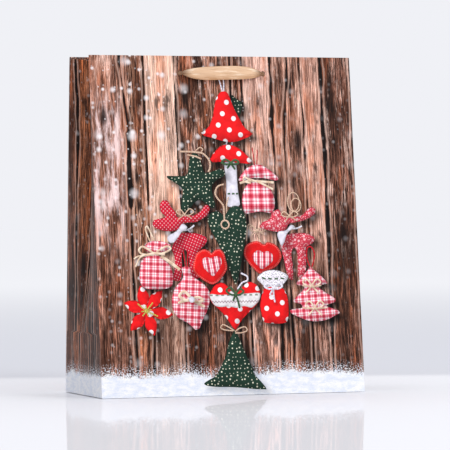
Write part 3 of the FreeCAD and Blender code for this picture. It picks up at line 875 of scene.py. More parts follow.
class Strand(Patch):
    """A string, twine or ribbon laid on the picture along a line."""

    def __init__(self, cloth, width, points, closed=False, step=1.6, casts=0.55, taper=0.0):
        self.cloth = cloth
        self.centreline = smooth_line(points, closed, step)
        self.closed = closed
        self.half = width / 2
        self.casts = casts
        self.dark = 0.0
        self.centre = self.centreline.mean(axis=0)
        self.turn = 0.0
        ahead = np.gradient(self.centreline, axis=0)
        if closed:
            ahead = np.roll(self.centreline, -1, axis=0) - np.roll(self.centreline, 1, axis=0)
        ahead /= np.maximum(np.linalg.norm(ahead, axis=1), 1e-6)[:, None]
        side = np.stack([-ahead[:, 1], ahead[:, 0]], axis=1)
        place = np.linspace(-1, 1, len(self.centreline))
        half = self.half * (1 - taper * place ** 4)
        self.left = self.centreline + side * half[:, None]
        self.right = self.centreline - side * half[:, None]

    def faces(self):
        count = len(self.centreline)
        quads = []
        for index in range(count if self.closed else count - 1):
            after = (index + 1) % count
            quad = np.array([self.right[index], self.right[after], self.left[after], self.left[index]])
            quads.append(counterclockwise(quad))
        return quads

    def depth_inside(self, points):
        distance, _, _ = nearest_on_line(points, self.centreline, self.closed)
        return self.half - distance

    def rim(self, points):
        distance, away, along = nearest_on_line(points, self.centreline, self.closed)
        slope = np.clip(distance / self.half, 0, 1)
        return np.clip(self.half - distance, 0, None), along, -away, slope

    def filling(self):
        return np.zeros((0, 2))


def bow(cloth, width, centre, left, right, tails=()):
    """A tied bow: two drooping loops, its tails and a small knot."""
    cx, cy = centre
    parts = []
    for tail in tails:
        parts.append(Strand(cloth, width, [centre, *tail], taper=0.3))
    for reach_x, reach_y in (left, right):
        high = (cx + reach_x * 0.55, cy + reach_y + abs(reach_x) * 0.28)
        far = (cx + reach_x, cy + reach_y * 0.9)
        low = (cx + reach_x * 0.5, cy + reach_y * 0.4 - abs(reach_x) * 0.18)
        parts.append(Strand(cloth, width, [(cx, cy + 0.3), high, far, low, (cx, cy - 0.3)]))
    parts.append(Strand(cloth, width * 1.25, [(cx - width * 0.5, cy + 0.5), (cx + width * 0.5, cy - 0.5)]))
    return parts


def ring(centre, radius, squash=1.0):
    """Eight points round a circle or ellipse."""
    turn = [math.tau * step / 8 for step in range(8)]
    return [(centre[0] + radius * math.cos(t), centre[1] + radius * squash * math.sin(t)) for t in turn]


def picture():
    """Every printed shape, lowest first, in millimetres across and up from the base crease."""
    art = []
    add = art.append
    red, green, check, felt = "big_spots", "green_cloth", "gingham", "felt"
    small = "small_gingham"

    # hanging bell
    add(Patch(green, [(9, 283), (14, 279), (19, 276), (18, 268), (15, 262), (10, 270)], 4))
    add(Strand("white_string", 1.4, [(4, 241), (1.5, 236), (5, 233.5), (7.5, 237), (6, 241)]))
    add(Strand("white_string", 1.2, [(-4, 301), (-1.5, 293), (0, 286)]))
    add(Strand("white_string", 1.2, [(1.5, 301), (1.8, 293), (1.2, 286)]))
    add(Patch(red, [
        (0.5, 286.5), (-3, 285), (-6, 281), (-8, 275), (-10, 266), (-13, 257), (-17, 251), (-23, 247, 1),
        (-20, 244), (-14, 242.5), (-7, 240.5), (-1, 239), (6, 238), (13, 239), (20, 241.5), (25, 243.5),
        (28.5, 246, 1), (25, 248.5), (20, 253), (15, 262), (11, 270), (8, 278), (6, 283.5), (4, 286)], 11))

    # little toadstool
    add(Patch("linen", [
        (-1, 219), (9.5, 219), (10.5, 200), (11, 190), (12, 178.5), (8, 177.5), (0, 177), (-1, 185),
        (-0.5, 200)], 3))
    for left, right in ((0.3, 3.0), (4.6, 7.3), (8.6, 10.8)):
        add(Strand("green_ribbon", 1.6, [(left, 189), (right, 189.1)], casts=0.2))
    add(Patch(red, [
        (-15.5, 221.5, 1), (-13, 226), (-9, 230.5), (-5, 234), (0, 235.5), (5, 235.5), (10, 234),
        (16, 230.5), (21, 226), (26, 220.5, 1), (24, 217.5), (17, 218), (8, 218.5), (-3, 219.5),
        (-13, 219)], 8, turn=8))
    art.extend(bow("green_ribbon", 2.0, (5, 218), (-9, 1), (8, 1), [[(9, 212)], [(1, 213)]]))

    # five-pointed star with a twine tie
    add(Strand("twine", 1.1, [(-29, 230), (-25, 233), (-22, 231), (-24, 229)]))
    add(Patch(green, [
        (-35, 225), (-32, 228), (-27, 226), (-24, 217), (-21, 209), (-10, 211.5), (-3, 212.5), (-1.5, 207),
        (-10, 202), (-15, 196), (-14.5, 188), (-12.5, 179), (-14, 175.5), (-19, 177.5), (-26, 183),
        (-32, 181.5), (-37, 176), (-42, 172.5), (-46, 173), (-45.5, 183), (-44, 193), (-50, 199),
        (-57, 203), (-59, 206), (-49, 206), (-39.5, 207), (-37, 216)], 9))
    add(Strand("twine", 1.6, [(-45, 229), (-38, 229), (-30, 228.5), (-22, 227), (-16, 220), (-16, 213),
                              (-18, 210)]))
    add(Strand("twine", 1.4, [(-38, 226), (-30, 224.5), (-24, 222)]))

    # checked toadstool with a raffia tie
    add(Patch(check, [
        (12, 201.5), (14, 206), (19, 212), (25, 215.5), (31, 217), (38, 215), (45, 210.5), (50, 206),
        (52, 203.5), (50, 201.5), (44, 202.5), (36, 204), (30, 204), (22, 203.5), (16, 201)], 8, turn=-4))
    add(Patch(check, [
        (20, 197.5), (28, 200.5), (36, 199.5), (43, 193.5), (46.5, 186), (47, 179), (45, 172.5),
        (42, 170.5), (32, 172), (24, 171), (18, 170), (15, 175), (14.5, 184), (16, 191)], 8))
    add(Strand("red_ribbon", 1.0, [(27, 233), (28, 225), (28.5, 216)]))
    add(Strand("red_ribbon", 1.0, [(32, 231), (31.6, 224), (31, 216)]))
    add(Strand("raffia", 2.2, [(13, 199), (22, 201), (34, 200.5), (47, 199.5)]))
    add(Strand("raffia", 1.8, [(22, 203), (34, 199), (46, 193)]))
    add(Strand("raffia", 1.6, [(24, 201), (18, 205), (17, 201), (24, 199)]))

    # spotted deer on the left
    add(Patch("pin_spots", [
        (-75, 161), (-73.5, 164.5), (-68, 166), (-62, 168), (-66, 172), (-67, 179), (-63, 183.5),
        (-59, 182.5), (-56, 177), (-52, 172), (-50, 167), (-42, 169), (-34, 169), (-27, 173), (-23, 178),
        (-20, 178.5), (-18, 175), (-21, 169), (-27, 165), (-33, 162.5), (-42, 162), (-47, 159),
        (-52, 155), (-58, 154), (-66, 155), (-72, 157)], 5, turn=12))
    add(Patch("pin_spots", [
        (-54, 145), (-51, 150), (-46, 152.5), (-38, 152.5), (-30, 151.5), (-24, 149), (-22, 146),
        (-24, 141.5), (-29, 137), (-33, 131), (-35, 122), (-33, 114), (-31, 111), (-36, 108), (-41, 109),
        (-40.5, 121), (-41.5, 132), (-44, 136.5), (-47.5, 132), (-48, 120), (-50, 108), (-57, 108.5),
        (-57, 112), (-55, 120), (-55, 130), (-57, 138)], 6, turn=-8))
    add(Strand("white_string", 1.5, [(-47, 155), (-42, 155), (-38, 156.5), (-34, 159.5)]))
    add(Strand("white_string", 1.3, [(-41, 155.5), (-38, 153)]))
    add(Patch("linen", [
        (-60, 150), (-52, 154), (-46, 161), (-43, 160), (-41, 157), (-47, 153), (-50, 149), (-54, 144),
        (-58, 143), (-61, 146)], 3))
    art.extend(bow("twine", 1, (-43, 169.5), (-8, 3), (9, 3), [[(-50, 165)], [(-36, 166)]]))

    # felt hearts
    add(Patch(felt, [
        (34, 141), (38, 143), (44, 141.5), (49, 137), (51.5, 131), (50, 125), (45, 119.5), (38, 116.5),
        (31, 114), (28, 113.5), (22, 119), (17, 125), (14, 131), (15, 138), (19, 142), (25, 144),
        (30, 143.5)], 5, dark=0.07))
    add(Patch("fine_gingham", [
        (33, 133.5), (37, 134.5), (41, 133), (43, 129), (41.5, 124), (36, 120), (31.5, 117.5), (27, 121),
        (23.5, 125), (22, 129.5), (24.5, 133.5), (28.5, 135.5)], 3.5, turn=2, casts=0.25))
    add(Strand("twine", 1, [(17, 144), (18, 152), (20, 160), (25, 157), (29, 150), (31, 143)]))
    art.extend(bow("twine", 1.1, (28, 154), (-8, 2), (9, 1), [[(22, 149)], [(35, 150)]]))

    # long green heart on a twine loop
    add(Strand("twine", 1.3, [(-1.5, 162), (-1.5, 170), (-1, 179), (1, 186)]))
    add(Patch(green, [
        (-20.5, 163), (-19, 169), (-14, 172.3), (-8.5, 172), (-4, 168), (-1, 172), (3, 176.5), (9, 177.5),
        (14, 174), (17, 167), (17.5, 157), (16, 147), (13, 133), (10, 120), (7, 109), (4.5, 103.5),
        (2, 108), (-1, 117), (-5, 128), (-10, 139), (-15, 149), (-18.5, 156)], 9, turn=14))
    add(Strand("twine", 1.5, [(-4, 164), (-4, 171), (-4.5, 178), (-10, 185), (-12, 190), (-9, 196),
                              (-3, 198)]))
    add(Strand("twine", 1.5, ring((-3.5, 160), 3.9), closed=True))
    add(Patch(felt, [
        (-37, 117), (-36, 126), (-32, 134), (-25, 137), (-20, 135), (-18, 133), (-15, 136), (-10, 137),
        (-6, 133), (-4, 125), (-3.5, 119), (-6, 114), (-11, 108), (-16, 104.5), (-20, 104), (-26, 107),
        (-33, 112)], 5))
    add(Patch("fine_gingham", [
        (-28, 124), (-27, 128), (-23, 129.5), (-19, 128.5), (-15, 130), (-10, 129.5), (-8.5, 125),
        (-9.5, 121), (-13, 116), (-17.5, 111.5), (-22, 115), (-26, 119)], 3.5, turn=-8, casts=0.25))

    # spotted deer on the right
    add(Patch("flower_spots", [
        (31, 157), (33, 161.5), (38, 163.5), (42, 166), (43, 170), (47, 173), (51, 174), (53, 171),
        (55, 168), (60, 166.5), (68, 167), (75, 169), (80, 174), (84, 176), (88, 174), (87.5, 170),
        (82, 166), (74, 163), (66, 161.5), (60, 160), (57, 155), (52, 152.5), (46, 153), (38, 154.5)], 5))
    add(Patch("flower_spots", [
        (57, 149), (62, 151), (70, 151.5), (80, 150.5), (85, 147.5), (86, 145), (83, 141.5), (77, 138),
        (76, 130), (76, 120), (74, 113), (70, 109), (67, 110.5), (67.5, 122), (67, 134), (64, 137.5),
        (61.5, 132), (62.5, 120), (62, 107), (58.5, 108), (56, 114), (54, 124), (52, 134), (50.5, 141),
        (53, 145)], 6))
    add(Strand("white_string", 1.5, [(64, 155.5), (69, 156), (73.5, 158)]))
    add(Patch("linen", [
        (48, 150), (50, 153), (57, 154), (62, 159), (65, 158.5), (66, 156.5), (60, 153), (57, 149),
        (55, 143), (52, 139), (50, 143)], 3))
    add(Strand("twine", 0.96, ring((66, 181), 6, 1.5), closed=True))
    add(Strand("twine", 0.96, ring((68.5, 178), 5, 1.3), closed=True))
    art.extend(bow("twine", 1.1, (61, 167.5), (-8, 2), (9, 2), [[(56, 162)], [(69, 163)]]))

    # poinsettia flower
    petals = ((-89, 104), (-68, 99), (-58, 76), (-77, 57), (-100, 62), (-105.5, 88))
    heart = (-84, 80)
    for tip_x, tip_y in petals[::2] + petals[1::2]:
        out_x, out_y = tip_x - heart[0], tip_y - heart[1]
        size = math.hypot(out_x, out_y)
        side_x, side_y = -out_y / size, out_x / size
        rows = ((0.04, 1.4), (0.30, 4.2), (0.56, 5.8), (0.82, 3.4))
        one = [(heart[0] + out_x * t + side_x * w, heart[1] + out_y * t + side_y * w) for t, w in rows]
        other = [(heart[0] + out_x * t - side_x * w, heart[1] + out_y * t - side_y * w) for t, w in rows]
        add(Patch(red, one + [(tip_x, tip_y, 1)] + other[::-1], 5, turn=20, casts=0.5))
    for angle, reach in ((15, 5), (50, 10), (95, 5), (140, 11), (185, 5), (230, 6), (290, 5), (335, 12)):
        turn = math.radians(angle)
        far = (heart[0] + reach * math.cos(turn), heart[1] + reach * math.sin(turn))
        add(Strand("yellow_thread", 1.2, [heart, far], casts=0.2))

    # checked sack with a raffia bow
    add(Patch(small, [
        (-84, 138), (-82, 142), (-77, 145), (-68, 145), (-62, 143.5), (-58, 141), (-60, 137), (-66, 134.5),
        (-72, 133.5), (-79, 134.5)], 5, turn=6))
    add(Patch(small, [
        (-88, 104), (-84, 101), (-72, 100), (-62, 101), (-58, 104), (-57, 112), (-58.5, 120), (-63, 126),
        (-69, 131), (-75, 133), (-82, 131), (-87, 127), (-89, 118), (-89.5, 110)], 9, turn=3))
    add(Strand("raffia", 2.7, [(-68, 131), (-59, 125), (-50, 118)]))
    add(Strand("raffia", 1.3, [(-78, 145), (-82, 156), (-80, 159), (-74, 146)]))
    add(Strand("raffia", 1.8, [(-75, 134), (-85, 140), (-89, 137), (-86, 133), (-75, 132)]))
    add(Strand("raffia", 1.8, [(-72, 135), (-62, 140), (-58, 138), (-62, 135), (-72, 132)]))
    add(Strand("raffia", 1.5, [(-78, 132), (-90, 131), (-94, 128.5)]))
    add(Strand("raffia", 1.5, [(-80, 133), (-88, 130), (-93, 121)]))
    add(Strand("raffia", 2.4, [(-82, 132), (-74, 133.5), (-64, 132.5)]))

    # checked bauble
    add(Strand("red_ribbon", 1.2, [(-46, 136), (-45, 128), (-44, 119)]))
    add(Strand("red_ribbon", 1.2, [(-41.5, 136), (-42, 128), (-42.5, 119)]))
    add(Patch(small, [
        (-48, 120), (-40, 120), (-39, 113), (-34, 109), (-27, 104), (-22, 97), (-22, 88), (-25, 79),
        (-30, 70), (-33, 63), (-37, 61.5, 1), (-44, 68), (-53, 73), (-58, 80), (-59, 90), (-56, 100),
        (-50, 107), (-47, 112)], 10, turn=4))
    art.extend(bow("raffia", 2.6, (-39.5, 90), (-12, 4), (11, -1),
                   [[(-46, 89), (-53, 87)], [(-33, 86), (-27, 83)]]))
    add(Patch("linen", ring((-39.5, 90), 3.0), 3))

    # spotted heart with a lace band
    add(Strand("white_string", 1.5, [(6, 99), (11, 105), (16, 107), (16, 111), (10, 114)]))
    add(Patch(red, [
        (4, 95), (0, 97.5), (-5, 103), (-10, 105.5), (-16, 103), (-20, 98), (-22, 93), (-20, 87),
        (-15, 82), (-9, 76), (-4, 69), (0, 63), (3, 61, 1), (5, 64), (9, 70), (14, 75), (21, 81), (27, 88),
        (28.5, 95), (26, 102), (20, 105.5), (15, 104.5), (9, 99)], 9, turn=-6))
    add(Patch("lace_band", [
        (-21.5, 94.5), (-12, 94), (-5, 94), (3.5, 93.5), (8, 94.5), (18, 95), (28, 95), (27.5, 89),
        (23, 84), (19, 81.5), (12, 83), (5, 81.5), (-4, 83), (-10, 82.5), (-16, 83.5), (-20, 88)], 3,
        casts=0.3))
    art.extend(bow("green_ribbon", 2.0, (4, 94), (-9, 4), (8, 3), [[(6, 88), (7.5, 81)], [(1, 88)]]))

    # spotted sack with a lace top
    add(Patch("lace", [
        (26, 109), (31, 114), (39, 116.5), (47, 116), (54, 113.5), (57.5, 110), (54, 105), (49, 101),
        (42, 99), (35, 100), (30, 104)], 5))
    add(Patch(red, [
        (33, 99), (30, 93), (28, 84), (29, 75), (31, 68), (37, 66.5), (46, 66), (54, 67.5), (56, 74),
        (56.5, 84), (55, 93), (51, 99.5), (42, 101)], 9, turn=4))
    for left, right in ((31, 34.5), (37, 40.5), (43.5, 47), (49.5, 53)):
        start_y = 108.2 + 0.012 * (left - 42) ** 2
        add(Strand("green_ribbon", 1.5, [(left, start_y), (right, 108.2)], casts=0.2))
    art.extend(bow("white_string", 1.7, (42, 99.5), (-9, 2), (9, 2), [[(42, 92), (43, 86)], [(38, 93)]]))

    # checked fir tree
    add(Strand("red_ribbon", 1.3, [(80, 119), (77, 128), (78, 137), (82, 138), (85, 131), (82, 119)]))
    add(Patch(small, [
        (80, 119.5, 1), (84, 116), (90, 111), (95.5, 105.5), (96.5, 103), (90, 102), (88, 99.5), (94, 95),
        (100, 91.5), (104, 88.5), (103.5, 85.5), (97, 83.5), (95, 81.5), (101, 79.5), (107, 77),
        (108, 75), (103, 72.5), (95, 69), (85, 67.5), (75, 68.5), (66, 72), (59, 75.5), (57.5, 78),
        (62, 79.5), (70, 80.5), (69, 84), (63, 85.5), (61.5, 87.5), (67, 93), (73, 98.5), (72, 101),
        (66, 102.5), (66, 105), (71, 109.5), (76, 115)], 8, turn=-3))
    for tie_x, tie_y, reach in ((81, 101, 9.5), (83, 80, 12.5)):
        tie = [(tie_x - reach, tie_y + 0.6), (tie_x, tie_y - 0.8), (tie_x + reach, tie_y + 0.4)]
        add(Strand("raffia", 1.3, tie))
        art.extend(bow("raffia", 1.5, (tie_x, tie_y), (-9, 4), (9, 4),
                       [[(tie_x - 7, tie_y - 7)], [(tie_x + 7, tie_y - 7)]]))

    # green fir standing in the snow
    add(Strand("twine", 1.1, [(1.5, 60), (-5, 64), (-10, 66), (-12, 63), (-8, 61), (0, 60)]))
    add(Patch(green, [
        (1.5, 60.5), (4, 58), (7, 50), (10, 42), (14, 33), (18, 25), (19.5, 19), (25, 13), (30, 7),
        (31, 4.5, 1), (20, 5), (8, 6.5), (-4, 7.5), (-18, 8), (-28, 9.5), (-30.5, 11.5), (-26, 14.5),
        (-20, 17.5), (-16, 22), (-12, 29), (-8, 37), (-6, 45), (-3, 53)], 9))
    add(Strand("twine", 1.1, [(2, 59), (6, 62), (12, 63.5), (14, 60), (8, 58), (2, 58)]))
    return art


def soft_step(value, low, high):
    """A smooth step from 0 at one level to 1 at another."""
    t = np.clip((value - low) / (high - low), 0, 1)
    return t * t * (3 - 2 * t)


def panel_points():
    """Places of the panel's own grid."""
    pitch = 3.2
    top = HEIGHT - 0.6
    across = np.linspace(-HALF_WIDTH, HALF_WIDTH, int(2 * HALF_WIDTH / pitch) + 1)
    up = np.linspace(0, top, int(top / pitch) + 1)
    return across, up


def printed_panel(side):
    """A panel of the sheet: its picture cut as areas of cloth, string and wood, and two holes."""
    art = picture()
    across, up = panel_points()
    border = len(across) * len(up)
    plain = np.array([(x, y) for y in up for x in across])
    spots = [plain]
    total = len(plain)
    faces = []
    owners = []
    for hand in (-1, 1):
        turn = np.linspace(0, math.tau, 24, endpoint=False)
        rim = np.stack([hand * HOLE_SPAN / 2 + HOLE_RADIUS * np.cos(turn),
                        HOLE_HEIGHT + HOLE_RADIUS * np.sin(turn)], axis=1)
        spots.append(rim)
        faces.append(list(range(total, total + len(rim))))
        owners.append(-1)
        total += len(rim)
    for number, shape in enumerate(art):
        for outline in shape.faces():
            spots.append(outline)
            faces.append(list(range(total, total + len(outline))))
            owners.append(number)
            total += len(outline)
        extra = shape.filling()
        spots.append(extra)
        total += len(extra)
    places = [Vector(spot) for spot in np.concatenate(spots)]
    edge = [[0, len(across) - 1], [len(across) - 1, border - 1], [border - 1, border - len(across)],
            [border - len(across), 0]]
    verts, _, cut, _, _, from_faces = delaunay_2d_cdt(places, edge, faces, 0, 1e-4, True)
    flat = np.array([tuple(vert) for vert in verts])

    top_owner = []
    kept = []
    for face, sources in zip(cut, from_faces):
        above = [owners[source] for source in sources]
        if -1 in above:
            continue
        kept.append(face)
        top_owner.append(max(above) if above else -2)

    work = bmesh.new()
    made = [work.verts.new(Vector(point) * MM) for point in on_panel(side, flat[:, 0], flat[:, 1], 0.0)]
    for face in kept:
        work.faces.new([made[index] for index in face])
    mesh = bpy.data.meshes.new(side + "_printed_panel")
    work.to_mesh(mesh)
    work.free()

    sheet = flat.copy()
    if side == "back":
        sheet[:, 0] += SHEET_TURN
    fill_uv(mesh, "sheet", sheet)
    loop_count = len(mesh.loops)
    corner_vertex = np.empty(loop_count, int)
    mesh.loops.foreach_get("vertex_index", corner_vertex)
    counts = np.array([polygon.loop_total for polygon in mesh.polygons])
    corner_owner = np.repeat(np.array(top_owner), counts)
    cloth_map = np.zeros((loop_count, 2))
    rim_map = np.zeros((loop_count, 2))
    shade = np.zeros((loop_count, 4))
    shade[:, 3] = 1.0
    light_from = np.array([-0.64, 0.77])
    slots = list(CLOTHS)
    slot_of = {-2: 0}
    for number, shape in enumerate(art):
        slot_of[number] = slots.index(shape.cloth)

    for owner in sorted(set(top_owner)):
        corners = np.nonzero(corner_owner == owner)[0]
        vertices, back = np.unique(corner_vertex[corners], return_inverse=True)
        points = flat[vertices]
        light = np.full(len(points), 0.7)
        if owner >= 0:
            shape = art[owner]
            distance, along, away, slope = shape.rim(points)
            light = 0.66 + 0.46 * slope * (away @ light_from) - 0.10 * slope - shape.dark
            rim_map[corners] = np.stack([distance, along], axis=1)[back]
            cloth_map[corners] = shape.cloth_map(points)[back]
        shadow = np.zeros(len(points))
        lifted = points - np.array([4.0, -4.0])
        for number in range(max(owner, -1) + 1, len(art)):
            shape = art[number]
            line = shape.line if type(shape) is Patch else shape.centreline
            near = np.all((lifted > line.min(axis=0) - 9) & (lifted < line.max(axis=0) + 9), axis=1)
            if not near.any():
                continue
            soft = 5.5 if type(shape) is Patch else 1.6
            moved = lifted[near] if type(shape) is Patch else points[near] - np.array([1.3, -1.3])
            covered = soft_step(shape.depth_inside(moved), -soft, soft * 0.6) * shape.casts
            shadow[near] = np.maximum(shadow[near], covered)
        shade[corners, 0] = np.clip(light, 0, 1)[back]
        shade[corners, 1] = shadow[back]
    for name, values in (("cloth", cloth_map), ("rim", rim_map)):
        layer = mesh.uv_layers.new(name=name)
        layer.data.foreach_set("uv", values.ravel())
    layer = mesh.color_attributes.new("shade", "FLOAT_COLOR", "CORNER")
    layer.data.foreach_set("color", shade.ravel())
    mesh.polygons.foreach_set("material_index", [slot_of[owner] for owner in top_owner])

    panel = add_object(mesh.name, mesh, list(CLOTHS.values()) + [INSIDE])
    face_like(panel, (0, 1 if side == "back" else -1, 0))
    thicken(panel, PAPER, inner_slot=len(CLOTHS))
    return panel


# ------------------------------------------------------------------ hems, seam and gussets

def sheet_maps(across, up):
    """Where a plain strip of the sheet lies on the unfolded print."""
    across, up = np.broadcast_arrays(across, up)
    return {"sheet": np.stack([across, up], axis=-1)}


def wood_strip(name, points, across, up, facing):
    """A thin strip of the printed sheet, white behind."""
    mesh = grid_mesh(name, points, sheet_maps(across, up))
    layer = mesh.color_attributes.new("shade", "FLOAT_COLOR", "CORNER")
    layer.data.foreach_set("color", [0.7, 0.0, 0.0, 1.0] * len(mesh.loops))
    strip = add_object(name, mesh, [WOOD, INSIDE])
    face_like(strip, facing)
    thicken(strip, PAPER, inner_slot=1, centred=True)
    shade_smooth(strip)
    return strip


def fold_profile(depth_out, depth_in, top, foot, turns=7):
    """Depths and heights of a strip that folds over at its top and hangs down behind."""
    centre, radius = (depth_out + depth_in) / 2, (depth_in - depth_out) / 2
    angles = np.linspace(math.pi, 0, turns)
    depths = list(centre + radius * np.cos(angles))
    heights = list(top - radius + radius * np.sin(angles))
    for height in np.linspace(top - radius, foot, 12)[1:]:
        depths.append(depth_in)
        heights.append(float(height))
    return np.array(depths), np.array(heights)


def panel_hem(side):
    """The panel's top edge turned in over its card."""
    depths, heights = fold_profile(0.15, 1.05, HEIGHT - 0.15, HEIGHT - HEM)
    folded = np.arange(len(depths)) < 7
    reach = np.where(folded, HALF_WIDTH - 0.25, HALF_WIDTH - 2.5)[:, None]
    across = np.linspace(-1, 1, 53)[None] * reach
    points = on_panel(side, across, heights[:, None], depths[:, None])
    run = np.concatenate([[0], np.cumsum(np.hypot(np.diff(depths), np.diff(heights)))])
    shift = SHEET_TURN if side == "back" else 0.0
    inward = (0, -1, 0) if side == "back" else (0, 1, 0)
    up = HEIGHT + run[:, None] + 0 * across
    strip = wood_strip(side + "_turned_in_hem", points, across + shift, up, inward)
    punch(strip, side)
    return strip


def punch(thing, side):
    """Cut the two ribbon holes through a piece, square to the panel."""
    for hand in (-1, 1):
        outside, inside = on_panel(side, hand * HOLE_SPAN / 2, HOLE_HEIGHT, np.array([-3.0, 4.0])) * MM
        axis = Vector(inside - outside)
        work = bmesh.new()
        radius = HOLE_RADIUS * MM
        bmesh.ops.create_cone(work, cap_ends=True, segments=32, radius1=radius, radius2=radius,
                              depth=axis.length)
        turn = axis.to_track_quat("Z", "Y").to_matrix().to_4x4()
        placed = Matrix.Translation((outside + inside) / 2) @ turn
        bmesh.ops.transform(work, matrix=placed, verts=work.verts)
        mesh = bpy.data.meshes.new("hole_punch")
        work.to_mesh(mesh)
        work.free()
        cutter = bpy.data.objects.new("hole_punch", mesh)
        bpy.context.collection.objects.link(cutter)
        cut = thing.modifiers.new("ribbon_hole", "BOOLEAN")
        cut.operation = "DIFFERENCE"
        cut.solver = "EXACT"
        cut.object = cutter
        apply_modifiers(thing)
        bpy.data.objects.remove(cutter)
        bpy.data.meshes.remove(mesh)


# how far the hem's card stays in from the sheet's edges and its fold, and how far down it goes
CARD_INSET = 3
CARD_TOP = 0.95
CARD_FOOT = 38.5


def hem_card(side):
    """The stiff grey card that the hem is folded round."""
    across = np.linspace(-HALF_WIDTH + CARD_INSET, HALF_WIDTH - CARD_INSET, 27)[None]
    up = np.linspace(HEIGHT - CARD_FOOT, HEIGHT - CARD_TOP, 6)[:, None]
    points = on_panel(side, across, up, PAPER + CARD / 2)
    mesh = grid_mesh(side + "_stiffening_card", points, {})
    card = add_object(mesh.name, mesh, [BOARD])
    thicken(card, CARD - 0.06, centred=True)
    punch(card, side)
    soft = card.modifiers.new("cut_edge", "BEVEL")
    soft.width = 0.12 * MM
    soft.segments = 1
    soft.limit_method = "ANGLE"
    return apply_modifiers(card)


def glued_seam():
    """The flap that closes the sheet into a tube, glued inside the back panel."""
    low, high = (np.array(corner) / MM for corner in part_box("side_seam_flap"))
    across = np.linspace(-high[0], -low[0], 9)[None]
    lowest, highest = low[2] / math.cos(LEAN["back"]), high[2] / math.cos(LEAN["back"])
    up = np.linspace(lowest, highest, 60)[:, None]
    wave = 0.08 * np.sin(up / 17.0) * np.cos(across / 5.0)
    points = on_panel("back", across, up, 1.75 * PAPER + wave)
    mesh = grid_mesh("glued_side_seam", points, {})
    flap = add_object(mesh.name, mesh, [INSIDE])
    face_like(flap, (0, -1, 0))
    thicken(flap, PAPER * 0.9, centred=True)
    shade_smooth(flap)
    return flap


def gusset_rows():
    """Heights for a gusset's grid, closer together where it leaves its flat foot."""
    low = np.linspace(0.35, GUSSET - 6, 12)
    turn = np.linspace(GUSSET - 4, GUSSET + 14, 10)
    high = np.linspace(GUSSET + 18, HEIGHT - 0.6, 54)
    return np.concatenate([low, turn, high])


def gusset_half(hand, side):
    """Half of a side gusset, from a panel's edge to the centre crease."""
    along = np.linspace(0.0025, 1, 22)[None]
    up = gusset_rows()[:, None]
    ripple = 0.35 * np.sin(along * math.pi) * np.sin(up / 29.0 + hand) * soft_step(up, 70, 130)
    points = on_gusset(hand, side, along + 0 * up, up + 0 * along, ripple)
    name = f"{'left' if hand < 0 else 'right'}_gusset_{side}_sheet"
    if side == "front":
        across = hand * (HALF_WIDTH + GUSSET * along)
    else:
        across = hand * (HALF_WIDTH + GUSSET * (2 - along))
    facing = (hand, 0.4 if side == "front" else -0.4, 0)
    return wood_strip(name, points, across + 0 * up, up + 0 * along, facing)


def gusset_hem(hand, side):
    """The gusset's top edge turned in."""
    depths, heights = fold_profile(0.0, 0.55, HEIGHT - 0.15, HEIGHT - HEM, turns=5)
    folded = np.arange(len(depths)) < 5
    start = np.where(folded, 0.01, 0.075)[:, None]
    stop = np.where(folded, 0.995, 0.935)[:, None]
    along = start + np.linspace(0, 1, 17)[None] * (stop - start)
    up = heights[:, None] + 0 * along
    points = on_gusset(hand, side, along, up, depths[:, None] + 0 * along)
    across = hand * (HALF_WIDTH + GUSSET * along)
    run = np.concatenate([[0], np.cumsum(np.hypot(np.diff(depths), np.diff(heights)))])
    inside = (-hand * 0.5, -1.0 if side == "front" else 1.0, 0)
    name = f"{'left' if hand < 0 else 'right'}_gusset_{side}_turned_in_hem"
    return wood_strip(name, points, across, HEIGHT + run[:, None] + 0 * along, inside)


# ------------------------------------------------------------------ ribbons

def ribbon_mesh(name, points, along, across, thickness):
    """A satin strip over a grid of points, mapped in millimetres along and across."""
    along, across = np.broadcast_arrays(along, across)
    mesh = grid_mesh(name, points, {"ribbon": np.stack([along, across], axis=-1)})
    strip = add_object(name, mesh, [SATIN])
    wall = strip.modifiers.new("ribbon_thickness", "SOLIDIFY")
    wall.thickness = thickness * MM
    wall.offset = 0.0
    apply_modifiers(strip)
    shade_smooth(strip, 60)
    return strip


def ribbon_band(side):
    """The length of ribbon outside, bowed off the panel and bunched into its two holes."""
    count, rows = 141, 29
    run = np.linspace(-1, 1, count)[None]
    over = np.linspace(-1, 1, rows)[:, None]
    half_span = HOLE_SPAN / 2
    rim = half_span - 1.9
    across = run * (half_span + 1.6)
    reach = np.abs(across)
    free = np.clip(1 - (reach / rim) ** 3.2, 0, 1)
    bunch = np.clip(1 - ((reach - half_span) / 2.6) ** 2, 0, 1)
    spread = np.where(reach < rim, 1.2 + 5.3 * free ** 0.8, 0.6 + 1.25 * np.sqrt(bunch))
    bow_out = 0.25 + 5.2 * np.clip(1 - (reach / rim) ** 2.4, 0, 1) ** 0.45
    into_hole = np.clip((reach - rim) / 4.4, 0, 1) * 1.5
    pleat = (reach / rim) ** 3 * np.clip(1.15 - reach / rim, 0, 1) * 4
    wave = np.cos(over * math.pi * 2.6 + 0.7 * np.sign(run))
    curl = 1.0 * (1 - over ** 2) * free
    creased = 0.30 * np.sin(over * 6.0 + run * 5.0) * np.sin(run * 4.0 + 0.8) * free
    lift = 302.8 - HOLE_HEIGHT
    up = HOLE_HEIGHT + lift * free + over * spread
    up = up + free * (0.7 * np.sin(run * 2.6 + 0.6) + 0.25 * np.sin(run * 9.0) * (1 - np.abs(over)))
    depth = into_hole - bow_out - curl - creased - 0.35 * pleat * wave
    points = on_panel(side, across + 0 * over, up, depth)
    return ribbon_mesh(side + "_ribbon_handle", points, across + 0 * over, over * 6.5 + 0 * run, 0.32)


